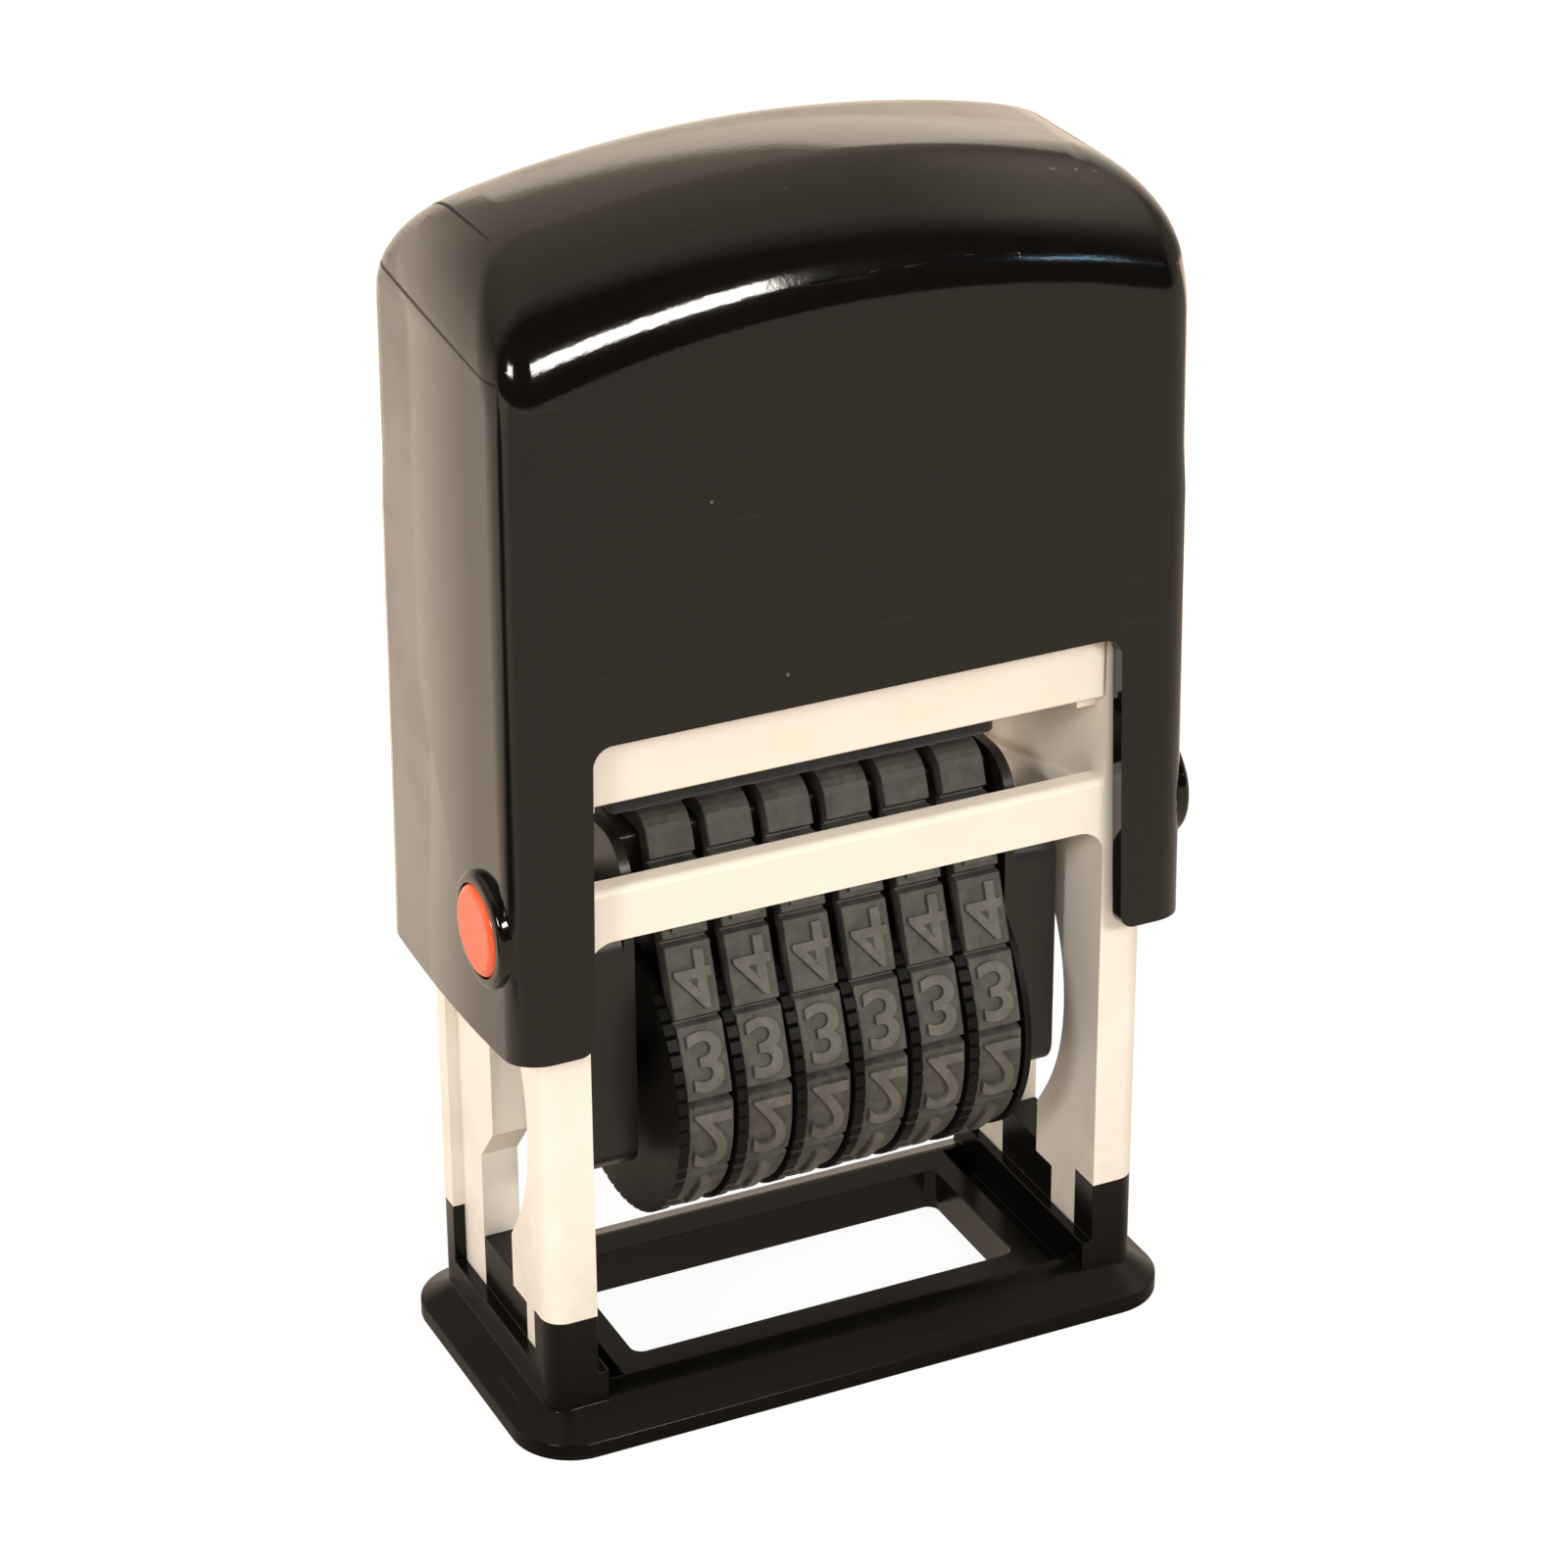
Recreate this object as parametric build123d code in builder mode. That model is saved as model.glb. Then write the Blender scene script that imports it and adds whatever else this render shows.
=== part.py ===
from build123d import *
import math
import os

os.makedirs("parts", exist_ok=True)

# A self-inking number stamp that stands on its foot ring. Millimetres, +Z up, front face towards -Y,
# origin under the middle of the foot. At rest the cover is up, the print head of the carriage touches
# the ink pad, and the thumb wheels hang below it. Pressing the cover lowers the carriage and turns it
# half a turn, so that the print head comes down through the window of the foot ring.

# ---------------------------------------------------------------- driving dimensions

# foot ring
foot_width = 46.0
foot_depth = 23.2
foot_corner = 4.1
foot_lip = 1.1                 # upright edge that touches the table
foot_ridge = 2.9               # height of the sloped upper face's inner edge
foot_side_slope = 2.6          # run of the slope at the sides
foot_front_slope = 3.3         # run of the slope at the front and back
window_width = 27.5            # hole that the print head comes through
window_depth = 11.7
window_corner = 0.8
rail_height = 4.6              # rails that hold the side walls of the frame
rail_skin = 0.7
channel_width = 1.6            # gutter along the inside of each rail
channel_floor = 1.6
socket_height = 8.85           # corner sockets that hold the posts
tongue_height = 8.3            # block that closes the lower end of each wall slot
tongue_step = 7.3

# inner frame
frame_setback = 2.35           # from the foot's front and back edges
frame_side_setback = 2.0       # from the foot's side edges to the posts
wall_thickness = 2.5
post_width = 3.3
post_depth = 2.5
post_corner = 1.4
deck_thickness = 1.5
deck_rise = 2.8                # top of the deck above the tray opening
bar_rise = 5.0                 # underside of the crossbars above the axle
bar_height = 3.5
bar_thickness = 1.5
bar_corner = 1.7
bar_edge_round = 0.5           # upper outer edge of each crossbar
tray_opening_rise = 4.5        # above the print head at rest
tray_opening_height = 4.9
ledge_width = 1.3
ledge_thickness = 1.0
spring_cup_wall = 1.2
spring_cup_height = 1.0
rib_height = 0.7               # stiffening rib along the inside of each side wall
rib_proud = 0.45
# points of the rib's middle line: Y as a share of half the frame's depth, and rise above the axle
rib_line = ((0.973, 3.9), (0.65, 4.4), (0.1, 5.4), (-0.8, 7.0))
slot_clearance = 0.3           # round the axle stub at the top of each wall slot
slot_straight = 1.0            # straight front edge below the axle stub's top position
slot_belly = (-4.7, 9.9)       # points of the front edge: Y, and drop below the axle at rest
slot_waist = (-2.6, 17.2)
slot_throat = (-1.4, 19.0)
slot_foot = -3.6               # Y of the front edge below the step of the tongue
slot_back = 3.4                # Y of the back edge
slot_lean = (13.2, 15.8)       # drops between which the back edge leans forward

# ink tray and pad
tray_clearance = 0.15
tray_wall = 1.0
pad_width = 26.6
pad_depth = 5.6
pad_gap = 0.2                  # between the pad and the type at rest

# cover
cover_side_standoff = 1.7      # from the posts to the cover's side, at the shoulder
cover_standoff = 1.4           # from the frame to the cover's front and back
cover_draft = 0.57             # degrees
cover_top = 80.6
cover_crown_radius = 80.0
cover_corner_radius = 6.5      # between the sides and the crown
cover_front_round = 6.2        # round between the crown and the front and back faces
cover_edge_round = 2.4         # upright edges
cover_drop = 2.2               # lower edge below the axle
cover_bottom_bow = 80.0        # radius of the bowed lower edge of each side
cover_wall = 1.1
cover_window_flare = 1.2       # degrees, wider towards the bottom
cover_window_corner = 1.3
cover_tab_corner = 1.0         # lower inner corners of the tabs beside each window
spring_spigot_length = 4.0

# lock buttons
lock_setback = 4.4             # behind the cover's front
lock_rise = 6.1                # above the axle
lock_boss_radius = 3.7
lock_boss_proud = 0.6
lock_cap_radius = 2.95
lock_cap_thickness = 0.5
lock_cap_proud = 0.25
lock_cap_round = 0.6
lock_stem_radius = 1.0
lock_stem_setback = 1.05       # behind the cap's centre, clear of the frame's posts
lock_collar_radius = 1.5
lock_collar_thickness = 0.6
lock_collar_gap = 0.15
lock_travel = 0.7
lock_floor = 0.4               # wall left at the bottom of the boss
lock_boss_round = 0.45

# carriage
axle_height = 30.2
axle_radius = 0.95
axle_boss_radius = 2.0
axle_reach = 21.65             # end of each axle stub, from the middle
axle_end_gap = 0.15
head_reach = 9.6               # from the axle to the face of the type
paper_gap = 0.1                # between the type and the table at full press
shaft_drop = 9.2               # from the axle to the wheel shaft
shaft_radius = 1.5
shaft_seat = 1.5               # depth of the wheel shaft in each cheek
platen_rise = 2.8              # lower round of the platen above the axle
platen_foot_round = 1.0
cheek_depth = 10.4
cheek_foot_drop = 5.0          # below the wheel shaft
cheek_head_drop = 0.8          # below the face of the type
cheek_plate = 0.7
cheek_rim = 1.1
cheek_web = 0.8                # floor of the pocket in each cheek
cheek_side_gap = 1.1           # between a cheek and the wall of the frame
cheek_block_rise = 3.3         # above the axle
cheek_top_round = 3.0
cheek_foot_round = 2.0

# number bands and thumb wheels
digit_count = 6
digit_pitch = 4.05
band_width = 3.1
band_thickness = 0.8
type_height = 0.6
type_places = 14
type_gap = 0.55                # groove between one type block and the next
head_half_flat = 2.0           # half the flat of the print head
head_round = 0.4               # inside radius of the band at the print head
wheel_radius = 9.8
wheel_rim = 0.7
wheel_hub_radius = 8.0
wheel_gap = 0.1                # side clearance of wheels and bands
grip_count = 60
grip_depth = 0.22
end_disc_thickness = 0.45

# return spring
spring_radius = 3.9
spring_wire = 0.35
spring_turns = 7

running_fit = 0.05             # radial clearance of a shaft in its bore

# ---------------------------------------------------------------- derived sizes

post_outside = foot_width / 2 - frame_side_setback
inside = post_outside - post_width
wall_outside = inside + wall_thickness
frame_depth = foot_depth - 2 * frame_setback
frame_front = frame_depth / 2

print_height = axle_height + head_reach
press_travel = axle_height - head_reach - paper_gap
shaft_height = axle_height - shaft_drop
bar_bottom = axle_height + bar_rise
tray_opening_bottom = print_height + tray_opening_rise
tray_opening_top = tray_opening_bottom + tray_opening_height
frame_top = tray_opening_top + deck_rise

cover_width = 2 * (post_outside + cover_side_standoff)
cover_depth = frame_depth + 2 * cover_standoff
# centres of the cover's top corners, which run smoothly into the sides and the crown
corner_x = cover_width / 2 - cover_corner_radius
corner_reach = cover_crown_radius - cover_corner_radius
corner_lean = math.asin(corner_x / corner_reach)
cover_shoulder = cover_top - cover_crown_radius + corner_reach * math.cos(corner_lean)
cover_bottom = axle_height - cover_drop
cover_window_top = tray_opening_top
lock_height = axle_height + lock_rise
lock_y = lock_setback - cover_depth / 2
lock_stem_y = lock_y + lock_stem_setback
digits_half = digit_count * digit_pitch / 2


def taper_out(height):
    """Growth of each cover half size from the shoulder down to a height."""
    return (cover_shoulder - height) * math.tan(math.radians(cover_draft))


def cover_half_width(height):
    return cover_width / 2 + taper_out(height)


def outer_corners(part):
    """Upright edges at the outer corners of the posts and their sockets."""
    return part.edges().filter_by(Axis.Z).filter_by(
        lambda edge: abs(abs(edge.center().X) - post_outside) < 0.01).filter_by(
        lambda edge: abs(abs(edge.center().Y) - frame_front) < 0.01)


# ---------------------------------------------------------------- foot ring

with BuildPart() as foot_ring:
    with BuildSketch():
        RectangleRounded(foot_width, foot_depth, foot_corner)
    extrude(amount=foot_lip)
    with BuildSketch(Plane.XY.offset(foot_lip)):
        RectangleRounded(foot_width, foot_depth, foot_corner)
    with BuildSketch(Plane.XY.offset(foot_ridge)):
        ridge_width = foot_width - 2 * foot_side_slope
        ridge_depth = foot_depth - 2 * foot_front_slope
        RectangleRounded(ridge_width, ridge_depth, foot_corner - foot_side_slope)
    loft()
    # rails under the side walls, with the corner sockets at their ends
    for side in (-1, 1):
        rail_inside = inside - rail_skin
        with BuildSketch(Plane.XY.offset(foot_lip)):
            with Locations((side * (rail_inside + post_outside) / 2, 0)):
                Rectangle(post_outside - rail_inside, frame_depth)
        extrude(amount=rail_height - foot_lip)
        with BuildSketch(Plane.XY.offset(foot_lip)):
            with Locations((side * (inside + post_width / 2), 0)):
                with GridLocations(0, frame_depth - post_depth, 1, 2):
                    Rectangle(post_width, post_depth)
        extrude(amount=socket_height - foot_lip)
        with BuildSketch(Plane.XY.offset(channel_floor)):
            with Locations((side * (rail_inside - channel_width / 2), 0)):
                Rectangle(channel_width, frame_depth - 2 * bar_thickness)
        extrude(amount=foot_ridge - channel_floor, mode=Mode.SUBTRACT)
    fillet(outer_corners(foot_ring), post_corner)
    # grooves that take the lower ends of the side walls
    for side in (-1, 1):
        with BuildSketch(Plane.XY.offset(foot_ridge)):
            with Locations((side * (inside + wall_thickness / 2), 0)):
                Rectangle(wall_thickness, frame_depth - 2 * post_depth)
        extrude(amount=socket_height, mode=Mode.SUBTRACT)
        with BuildSketch(Plane.YZ.offset(min(side * inside, side * wall_outside))):
            Polygon((slot_foot, foot_lip), (slot_back, foot_lip), (slot_back, tongue_height),
                    (slot_throat[0], tongue_height), (slot_throat[0], tongue_step), (slot_foot, tongue_step),
                    align=None)
        extrude(amount=wall_thickness)
    with BuildSketch():
        RectangleRounded(window_width, window_depth, window_corner)
    extrude(amount=foot_ridge, mode=Mode.SUBTRACT)
foot_ring.part.label = "foot_ring"

# ---------------------------------------------------------------- inner frame

slot_half = axle_radius + slot_clearance
belly, waist, throat = [(y, axle_height - drop) for y, drop in (slot_belly, slot_waist, slot_throat)]
cup_radius = spring_radius + spring_wire + slot_clearance

with BuildPart() as inner_frame:
    for side in (-1, 1):
        with BuildSketch(Plane.XY.offset(foot_ridge)):
            with Locations((side * (inside + wall_thickness / 2), 0)):
                Rectangle(wall_thickness, frame_depth - 2 * post_depth)
        extrude(amount=frame_top - foot_ridge)
        with BuildSketch(Plane.XY.offset(socket_height)):
            with Locations((side * (inside + post_width / 2), 0)):
                with GridLocations(0, frame_depth - post_depth, 1, 2):
                    Rectangle(post_width, post_depth)
        extrude(amount=frame_top - socket_height)
    # crossbars and top beams, front and back
    for front in (-1, 1):
        with BuildSketch(Plane.XZ.offset(front * (frame_front - bar_thickness / 2))):
            with Locations((0, bar_bottom + bar_height / 2)):
                Rectangle(2 * inside, bar_height)
            with Locations((0, (tray_opening_top + frame_top) / 2)):
                Rectangle(2 * inside, frame_top - tray_opening_top)
        extrude(amount=bar_thickness / 2, both=True)
    with BuildSketch(Plane.XY.offset(frame_top - deck_thickness)):
        Rectangle(2 * inside, frame_depth)
    extrude(amount=deck_thickness)
    with BuildSketch(Plane.XY.offset(frame_top)):
        Circle(cup_radius + spring_cup_wall)
        Circle(cup_radius, mode=Mode.SUBTRACT)
    extrude(amount=spring_cup_height)
    # ledges that carry the ink tray
    for side in (-1, 1):
        with BuildSketch(Plane.XY.offset(tray_opening_bottom - ledge_thickness)):
            with Locations((side * (inside - ledge_width / 2), 0)):
                Rectangle(ledge_width, frame_depth - 2 * bar_thickness)
        extrude(amount=ledge_thickness)
    fillet(outer_corners(inner_frame), post_corner)
    corner_edges = inner_frame.edges().filter_by(Axis.Y).filter_by(
        lambda e: abs(abs(e.center().X) - inside) < 0.01 and abs(e.center().Z - bar_bottom) < 0.01)
    fillet(corner_edges, bar_corner)
    bar_edges = inner_frame.edges().filter_by(Axis.X).filter_by(
        lambda e: abs(abs(e.center().Y) - frame_front) < 0.01
        and abs(e.center().Z - bar_bottom - bar_height) < 0.01)
    fillet(bar_edges, bar_edge_round)
    # stiffening ribs, and the slots that the axle stubs run down, closed below by the foot ring's tongues
    for side in (-1, 1):
        with BuildSketch(Plane.YZ.offset(side * (inside - rib_proud))):
            with BuildLine():
                Spline([(share * frame_front, axle_height + rise) for share, rise in rib_line])
            trace(line_width=rib_height)
        extrude(amount=side * rib_proud)
        with BuildSketch(Plane.YZ.offset(side * (inside + wall_thickness / 2))):
            with BuildLine():
                Line((-slot_half, axle_height), (-slot_half, axle_height - slot_straight))
                ThreePointArc((-slot_half, axle_height - slot_straight), belly, waist)
                Polyline(waist, throat, (throat[0], tongue_step), (slot_foot, tongue_step),
                         (slot_foot, foot_ridge), (slot_back, foot_ridge),
                         (slot_back, axle_height - slot_lean[1]), (slot_half, axle_height - slot_lean[0]),
                         (slot_half, axle_height))
                RadiusArc((slot_half, axle_height), (-slot_half, axle_height), -slot_half)
            make_face()
        extrude(amount=wall_thickness, both=True, mode=Mode.SUBTRACT)
inner_frame.part.label = "inner_frame"

# ---------------------------------------------------------------- ink tray and pad

tray_half = inside - tray_clearance
tray_bottom = tray_opening_bottom + tray_clearance
tray_top = tray_opening_top - tray_clearance
pad_bottom = print_height + pad_gap

with BuildPart() as ink_tray:
    with BuildSketch(Plane.XY.offset(tray_bottom)):
        Rectangle(2 * tray_half, frame_depth)
    extrude(amount=tray_top - tray_bottom)
    with BuildSketch(Plane.XY.offset(tray_bottom)):
        Rectangle(pad_width, pad_depth)
    extrude(amount=tray_top - tray_bottom - tray_wall, mode=Mode.SUBTRACT)
ink_tray.part.label = "ink_tray"

with BuildPart() as ink_pad:
    with BuildSketch(Plane.XY.offset(pad_bottom)):
        Rectangle(pad_width, pad_depth)
    extrude(amount=tray_top - tray_wall - pad_bottom)
ink_pad.part.label = "ink_pad"

# ---------------------------------------------------------------- cover


def cover_form(inset):
    """The outer form of the cover, moved inwards by an inset on every side."""
    low = cover_bottom - 2
    half_width = cover_half_width(low) - inset
    half_depth = cover_depth / 2 + taper_out(low) - inset
    crown_centre = cover_top - cover_crown_radius
    with BuildPart() as form:
        with BuildSketch(Plane.XY.offset(low)):
            RectangleRounded(2 * half_width, 2 * half_depth, cover_edge_round - inset)
        extrude(amount=cover_top - low, taper=cover_draft)
        # top corners of the front view
        corner = cover_corner_radius - inset
        with BuildSketch(Plane.XZ):
            with BuildLine():
                left_low = (-corner_x - corner - 4, low)
                right_low = (corner_x + corner + 4, low)
                left_high = (-corner_x - corner - 4, cover_shoulder)
                right_high = (corner_x + corner + 4, cover_shoulder)
                left_tangent = (-corner_x - corner, cover_shoulder)
                right_tangent = (corner_x + corner, cover_shoulder)
                turn_x = corner_x + corner * math.sin(corner_lean)
                turn_z = cover_shoulder + corner * math.cos(corner_lean)
                peak = (0, turn_z + turn_x * math.tan(corner_lean))
                Polyline(left_tangent, left_high, left_low, right_low, right_high, right_tangent)
                RadiusArc(right_tangent, (turn_x, turn_z), -corner)
                Polyline((turn_x, turn_z), peak, (-turn_x, turn_z))
                RadiusArc((-turn_x, turn_z), left_tangent, -corner)
            make_face()
        extrude(amount=cover_depth, both=True, mode=Mode.INTERSECT)
        # crown with rounded front and back edges, turned about the centre of the crown
        top = cover_top - inset
        edge = cover_front_round - inset
        edge_y = cover_depth / 2 - cover_front_round + 0.06
        with BuildSketch(Plane.YZ):
            with BuildLine():
                Polyline((-edge_y, top), (edge_y, top))
                RadiusArc((edge_y, top), (edge_y + edge, top - edge), edge)
                Polyline((edge_y + edge, top - edge), (edge_y + edge + 4, low - 8),
                         (-edge_y - edge - 4, low - 8), (-edge_y - edge, top - edge))
                RadiusArc((-edge_y - edge, top - edge), (-edge_y, top), edge)
            make_face()
        revolve(axis=Axis((0, 0, crown_centre), (0, 1, 0)), revolution_arc=360, mode=Mode.INTERSECT)
    return form.part


cover_inside_top = cover_top - cover_wall
boss_wall = cover_half_width(lock_height)
boss_face = boss_wall + lock_boss_proud
boss_floor = boss_wall - cover_wall + lock_floor
window_foot = cover_bottom - 2
bearing_face = wall_outside + 0.2
bearing_end = cover_half_width(axle_height) - cover_wall / 2

with BuildPart() as cover_shell:
    add(cover_form(0))
    # boss round each lock button
    for side in (-1, 1):
        with BuildSketch(Plane.YZ.offset(side * (boss_wall - cover_wall / 2))):
            with Locations((lock_y, lock_height)):
                Circle(lock_boss_radius)
        extrude(amount=side * (lock_boss_proud + cover_wall / 2))
    boss_edges = cover_shell.edges().filter_by(GeomType.CIRCLE).filter_by(
        lambda e: abs(abs(e.center().X) - boss_face) < 0.01)
    fillet(boss_edges, lock_boss_round)
    add(cover_form(cover_wall), mode=Mode.SUBTRACT)
    # bearing bosses for the axle stubs, inside the lower edge of each side
    for side in (-1, 1):
        with BuildSketch(Plane.YZ.offset(side * bearing_face)):
            with Locations((0, axle_height)):
                Circle(axle_boss_radius)
        extrude(amount=side * (bearing_end - bearing_face))
        with BuildSketch(Plane.YZ.offset(side * bearing_face)):
            with Locations((0, axle_height)):
                Circle(axle_radius + running_fit)
        extrude(amount=side * (axle_reach + axle_end_gap - bearing_face), mode=Mode.SUBTRACT)
        # stepped bore of the lock button
        with BuildSketch(Plane.YZ.offset(side * boss_floor)):
            with Locations((lock_y, lock_height)):
                Circle(lock_cap_radius + running_fit)
        extrude(amount=side * (boss_face - boss_floor), mode=Mode.SUBTRACT)
        with BuildSketch(Plane.YZ.offset(side * (boss_floor - lock_floor - 0.3))):
            with Locations((lock_stem_y, lock_height)):
                Circle(lock_stem_radius + running_fit)
        extrude(amount=side * (lock_floor + 0.6), mode=Mode.SUBTRACT)
    # spigot that centres the top of the return spring
    with BuildSketch(Plane.XY.offset(cover_inside_top - spring_spigot_length)):
        Circle(spring_radius - spring_wire - 0.3)
    extrude(amount=spring_spigot_length + cover_wall / 2)
    # windows in front and back, open at the bottom
    window_low_half = inside + (cover_window_top - window_foot) * math.tan(math.radians(cover_window_flare))
    with BuildSketch(Plane.XZ) as cover_window:
        Polygon((-window_low_half, window_foot), (window_low_half, window_foot),
                (inside, cover_window_top), (-inside, cover_window_top), align=None)
        fillet(cover_window.vertices().group_by(Axis.Y)[-1], cover_window_corner)
    extrude(amount=cover_depth, both=True, mode=Mode.SUBTRACT)
    # bowed lower edge
    with BuildSketch(Plane.YZ):
        with Locations((0, cover_bottom - 5)):
            Rectangle(2 * cover_depth, 14)
        with Locations((0, cover_bottom + cover_bottom_bow)):
            Circle(cover_bottom_bow, mode=Mode.SUBTRACT)
    extrude(amount=cover_width, both=True, mode=Mode.SUBTRACT)
    tab_corners = cover_shell.edges().filter_by(
        lambda edge: abs(abs(edge.center().X) - window_low_half) < 0.3).filter_by(
        lambda edge: edge.center().Z < cover_bottom + 1.5 and edge.length < 2 * cover_wall)
    fillet(tab_corners, cover_tab_corner)
cover_shell.part.label = "cover_shell"


def lock_button(side):
    """Red button: rounded cap, stem through the cover wall and the collar that keeps it in."""
    cap_back = boss_face - lock_cap_thickness
    collar_face = boss_wall - cover_wall - lock_collar_gap
    collar_back = collar_face - lock_collar_thickness

    with BuildPart() as button:
        with BuildSketch(Plane.YZ.offset(side * cap_back)):
            with Locations((lock_y, lock_height)):
                Circle(lock_cap_radius)
        extrude(amount=side * (boss_face + lock_cap_proud - cap_back))
        rim = button.edges().filter_by(GeomType.CIRCLE).filter_by(lambda e: abs(e.center().X) > boss_face)
        fillet(rim, lock_cap_round)
        for end, radius in ((cap_back, lock_stem_radius), (collar_face, lock_collar_radius)):
            with BuildSketch(Plane.YZ.offset(side * collar_back)):
                with Locations((lock_stem_y, lock_height)):
                    Circle(radius)
            extrude(amount=side * (end - collar_back))
    return button.part


# ---------------------------------------------------------------- carriage

cheek_inside = digits_half + 0.75
cheek_outside = inside - cheek_side_gap
cheek_bottom = shaft_height - cheek_foot_drop
cheek_top = print_height - cheek_head_drop
cheek_block_top = axle_height + cheek_block_rise
platen_foot = axle_height + platen_rise
head_centre = print_height - type_height - band_thickness - head_round
hub_line = wheel_hub_radius + running_fit


def cheek(side):
    """Side plate of the carriage with its axle stub, and the bore that takes the wheel shaft."""
    half = cheek_depth / 2
    with BuildPart() as plate:
        with BuildSketch(Plane.YZ.offset(side * cheek_inside)) as outline:
            with Locations((0, (cheek_bottom + cheek_top) / 2)):
                Rectangle(cheek_depth, cheek_top - cheek_bottom)
            fillet(outline.vertices().group_by(Axis.Y)[-1], cheek_top_round)
            fillet(outline.vertices().group_by(Axis.Y)[0], cheek_foot_round)
        extrude(amount=side * cheek_plate)
        with BuildSketch(Plane.YZ.offset(side * (cheek_inside + cheek_plate))) as block:
            with Locations((0, (cheek_bottom + cheek_block_top) / 2)):
                Rectangle(cheek_depth, cheek_block_top - cheek_bottom)
            fillet(block.vertices(), cheek_foot_round)
        extrude(amount=side * (cheek_outside - cheek_inside - cheek_plate))
        pocket_floor = cheek_inside + cheek_plate + cheek_web
        with BuildSketch(Plane.YZ.offset(side * pocket_floor)) as pocket:
            with Locations((0, (cheek_bottom + cheek_block_top) / 2)):
                Rectangle(cheek_depth - 2 * cheek_rim, cheek_block_top - cheek_bottom - 2 * cheek_rim)
            fillet(pocket.vertices(), 1.0)
            with Locations((0, axle_height)):
                Circle(axle_radius + 1.4, mode=Mode.SUBTRACT)
            with Locations((0, shaft_height)):
                Circle(shaft_radius + 1.2, mode=Mode.SUBTRACT)
        extrude(amount=side * (cheek_outside - pocket_floor), mode=Mode.SUBTRACT)
        with BuildSketch(Plane.YZ.offset(side * (cheek_outside - 0.5))):
            with Locations((0, axle_height)):
                Circle(axle_radius)
        extrude(amount=side * (axle_reach - cheek_outside + 0.5))
        with BuildSketch(Plane.YZ.offset(side * cheek_inside)):
            with Locations((0, shaft_height)):
                Circle(shaft_radius + running_fit)
        extrude(amount=side * (shaft_seat + 0.1), mode=Mode.SUBTRACT)
    return plate.part


def belt_line(grow):
    """Closed line round the print head and the wheel hub, drawn on the Y-Z plane."""
    head_radius = head_round + grow
    hub_radius = hub_line + grow
    rise = head_centre - shaft_height
    distance = math.hypot(head_half_flat, rise)
    normal = math.atan2(rise, head_half_flat) - math.acos((hub_radius - head_radius) / distance)
    middle = (normal + math.pi / 2) / 2

    def at(centre_y, centre_z, radius, angle, mirror=1):
        return (mirror * (centre_y + radius * math.cos(angle)), centre_z + radius * math.sin(angle))

    top = head_centre + head_radius
    right_head = at(head_half_flat, head_centre, head_radius, normal)
    right_middle = at(head_half_flat, head_centre, head_radius, middle)
    right_hub = at(0, shaft_height, hub_radius, normal)
    left_head = (-right_head[0], right_head[1])
    left_middle = (-right_middle[0], right_middle[1])
    left_hub = (-right_hub[0], right_hub[1])
    Line((0, top), (head_half_flat, top))
    ThreePointArc((head_half_flat, top), right_middle, right_head)
    Line(right_head, right_hub)
    ThreePointArc(right_hub, (0, shaft_height - hub_radius), left_hub)
    Line(left_hub, left_head)
    ThreePointArc(left_head, left_middle, (-head_half_flat, top))
    Line((-head_half_flat, top), (0, top))


with BuildPart() as platen:
    with BuildSketch(Plane.YZ.offset(-cheek_inside)):
        with BuildLine():
            CenterArc((head_half_flat, head_centre), head_round - running_fit, 0, 360)
            CenterArc((-head_half_flat, head_centre), head_round - running_fit, 0, 360)
            CenterArc((0, platen_foot), platen_foot_round, 0, 360)
        make_hull()
    extrude(amount=2 * cheek_inside)
platen.part.label = "platen"

with BuildPart() as wheel_shaft:
    with BuildSketch(Plane.YZ.offset(-cheek_inside - shaft_seat)):
        with Locations((0, shaft_height)):
            Circle(shaft_radius)
    extrude(amount=2 * (cheek_inside + shaft_seat))
wheel_shaft.part.label = "wheel_shaft"

with BuildPart() as end_disc:
    with BuildSketch(Plane.YZ.offset(digits_half + wheel_gap)):
        with Locations((0, shaft_height)):
            Circle(wheel_radius - 0.2)
            Circle(shaft_radius + running_fit, mode=Mode.SUBTRACT)
    extrude(amount=end_disc_thickness)
end_disc.part.label = "end_disc"


def number_band(left):
    """Endless rubber band with raised type, its left edge at a given X."""
    with BuildPart() as band:
        with BuildSketch(Plane.YZ.offset(left)):
            with BuildLine():
                belt_line(band_thickness + type_height)
            make_face()
            with BuildLine() as back:
                belt_line(band_thickness)
            line = back.wires()[0]
            first = line.param_at_point(Vector(0, print_height - type_height))
            for place in range(type_places):
                share = (first + place / type_places) % 1
                spot = line.position_at(share)
                along = line.tangent_at(share)
                turn = math.degrees(math.atan2(along.Y, along.X))
                with Locations(Location((spot.X, spot.Y, 0), (0, 0, turn))):
                    Rectangle(type_gap, 4 * type_height, mode=Mode.SUBTRACT)
            make_face()
            with BuildLine():
                belt_line(0)
            make_face(mode=Mode.SUBTRACT)
        extrude(amount=band_width)
    return band.part


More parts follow.
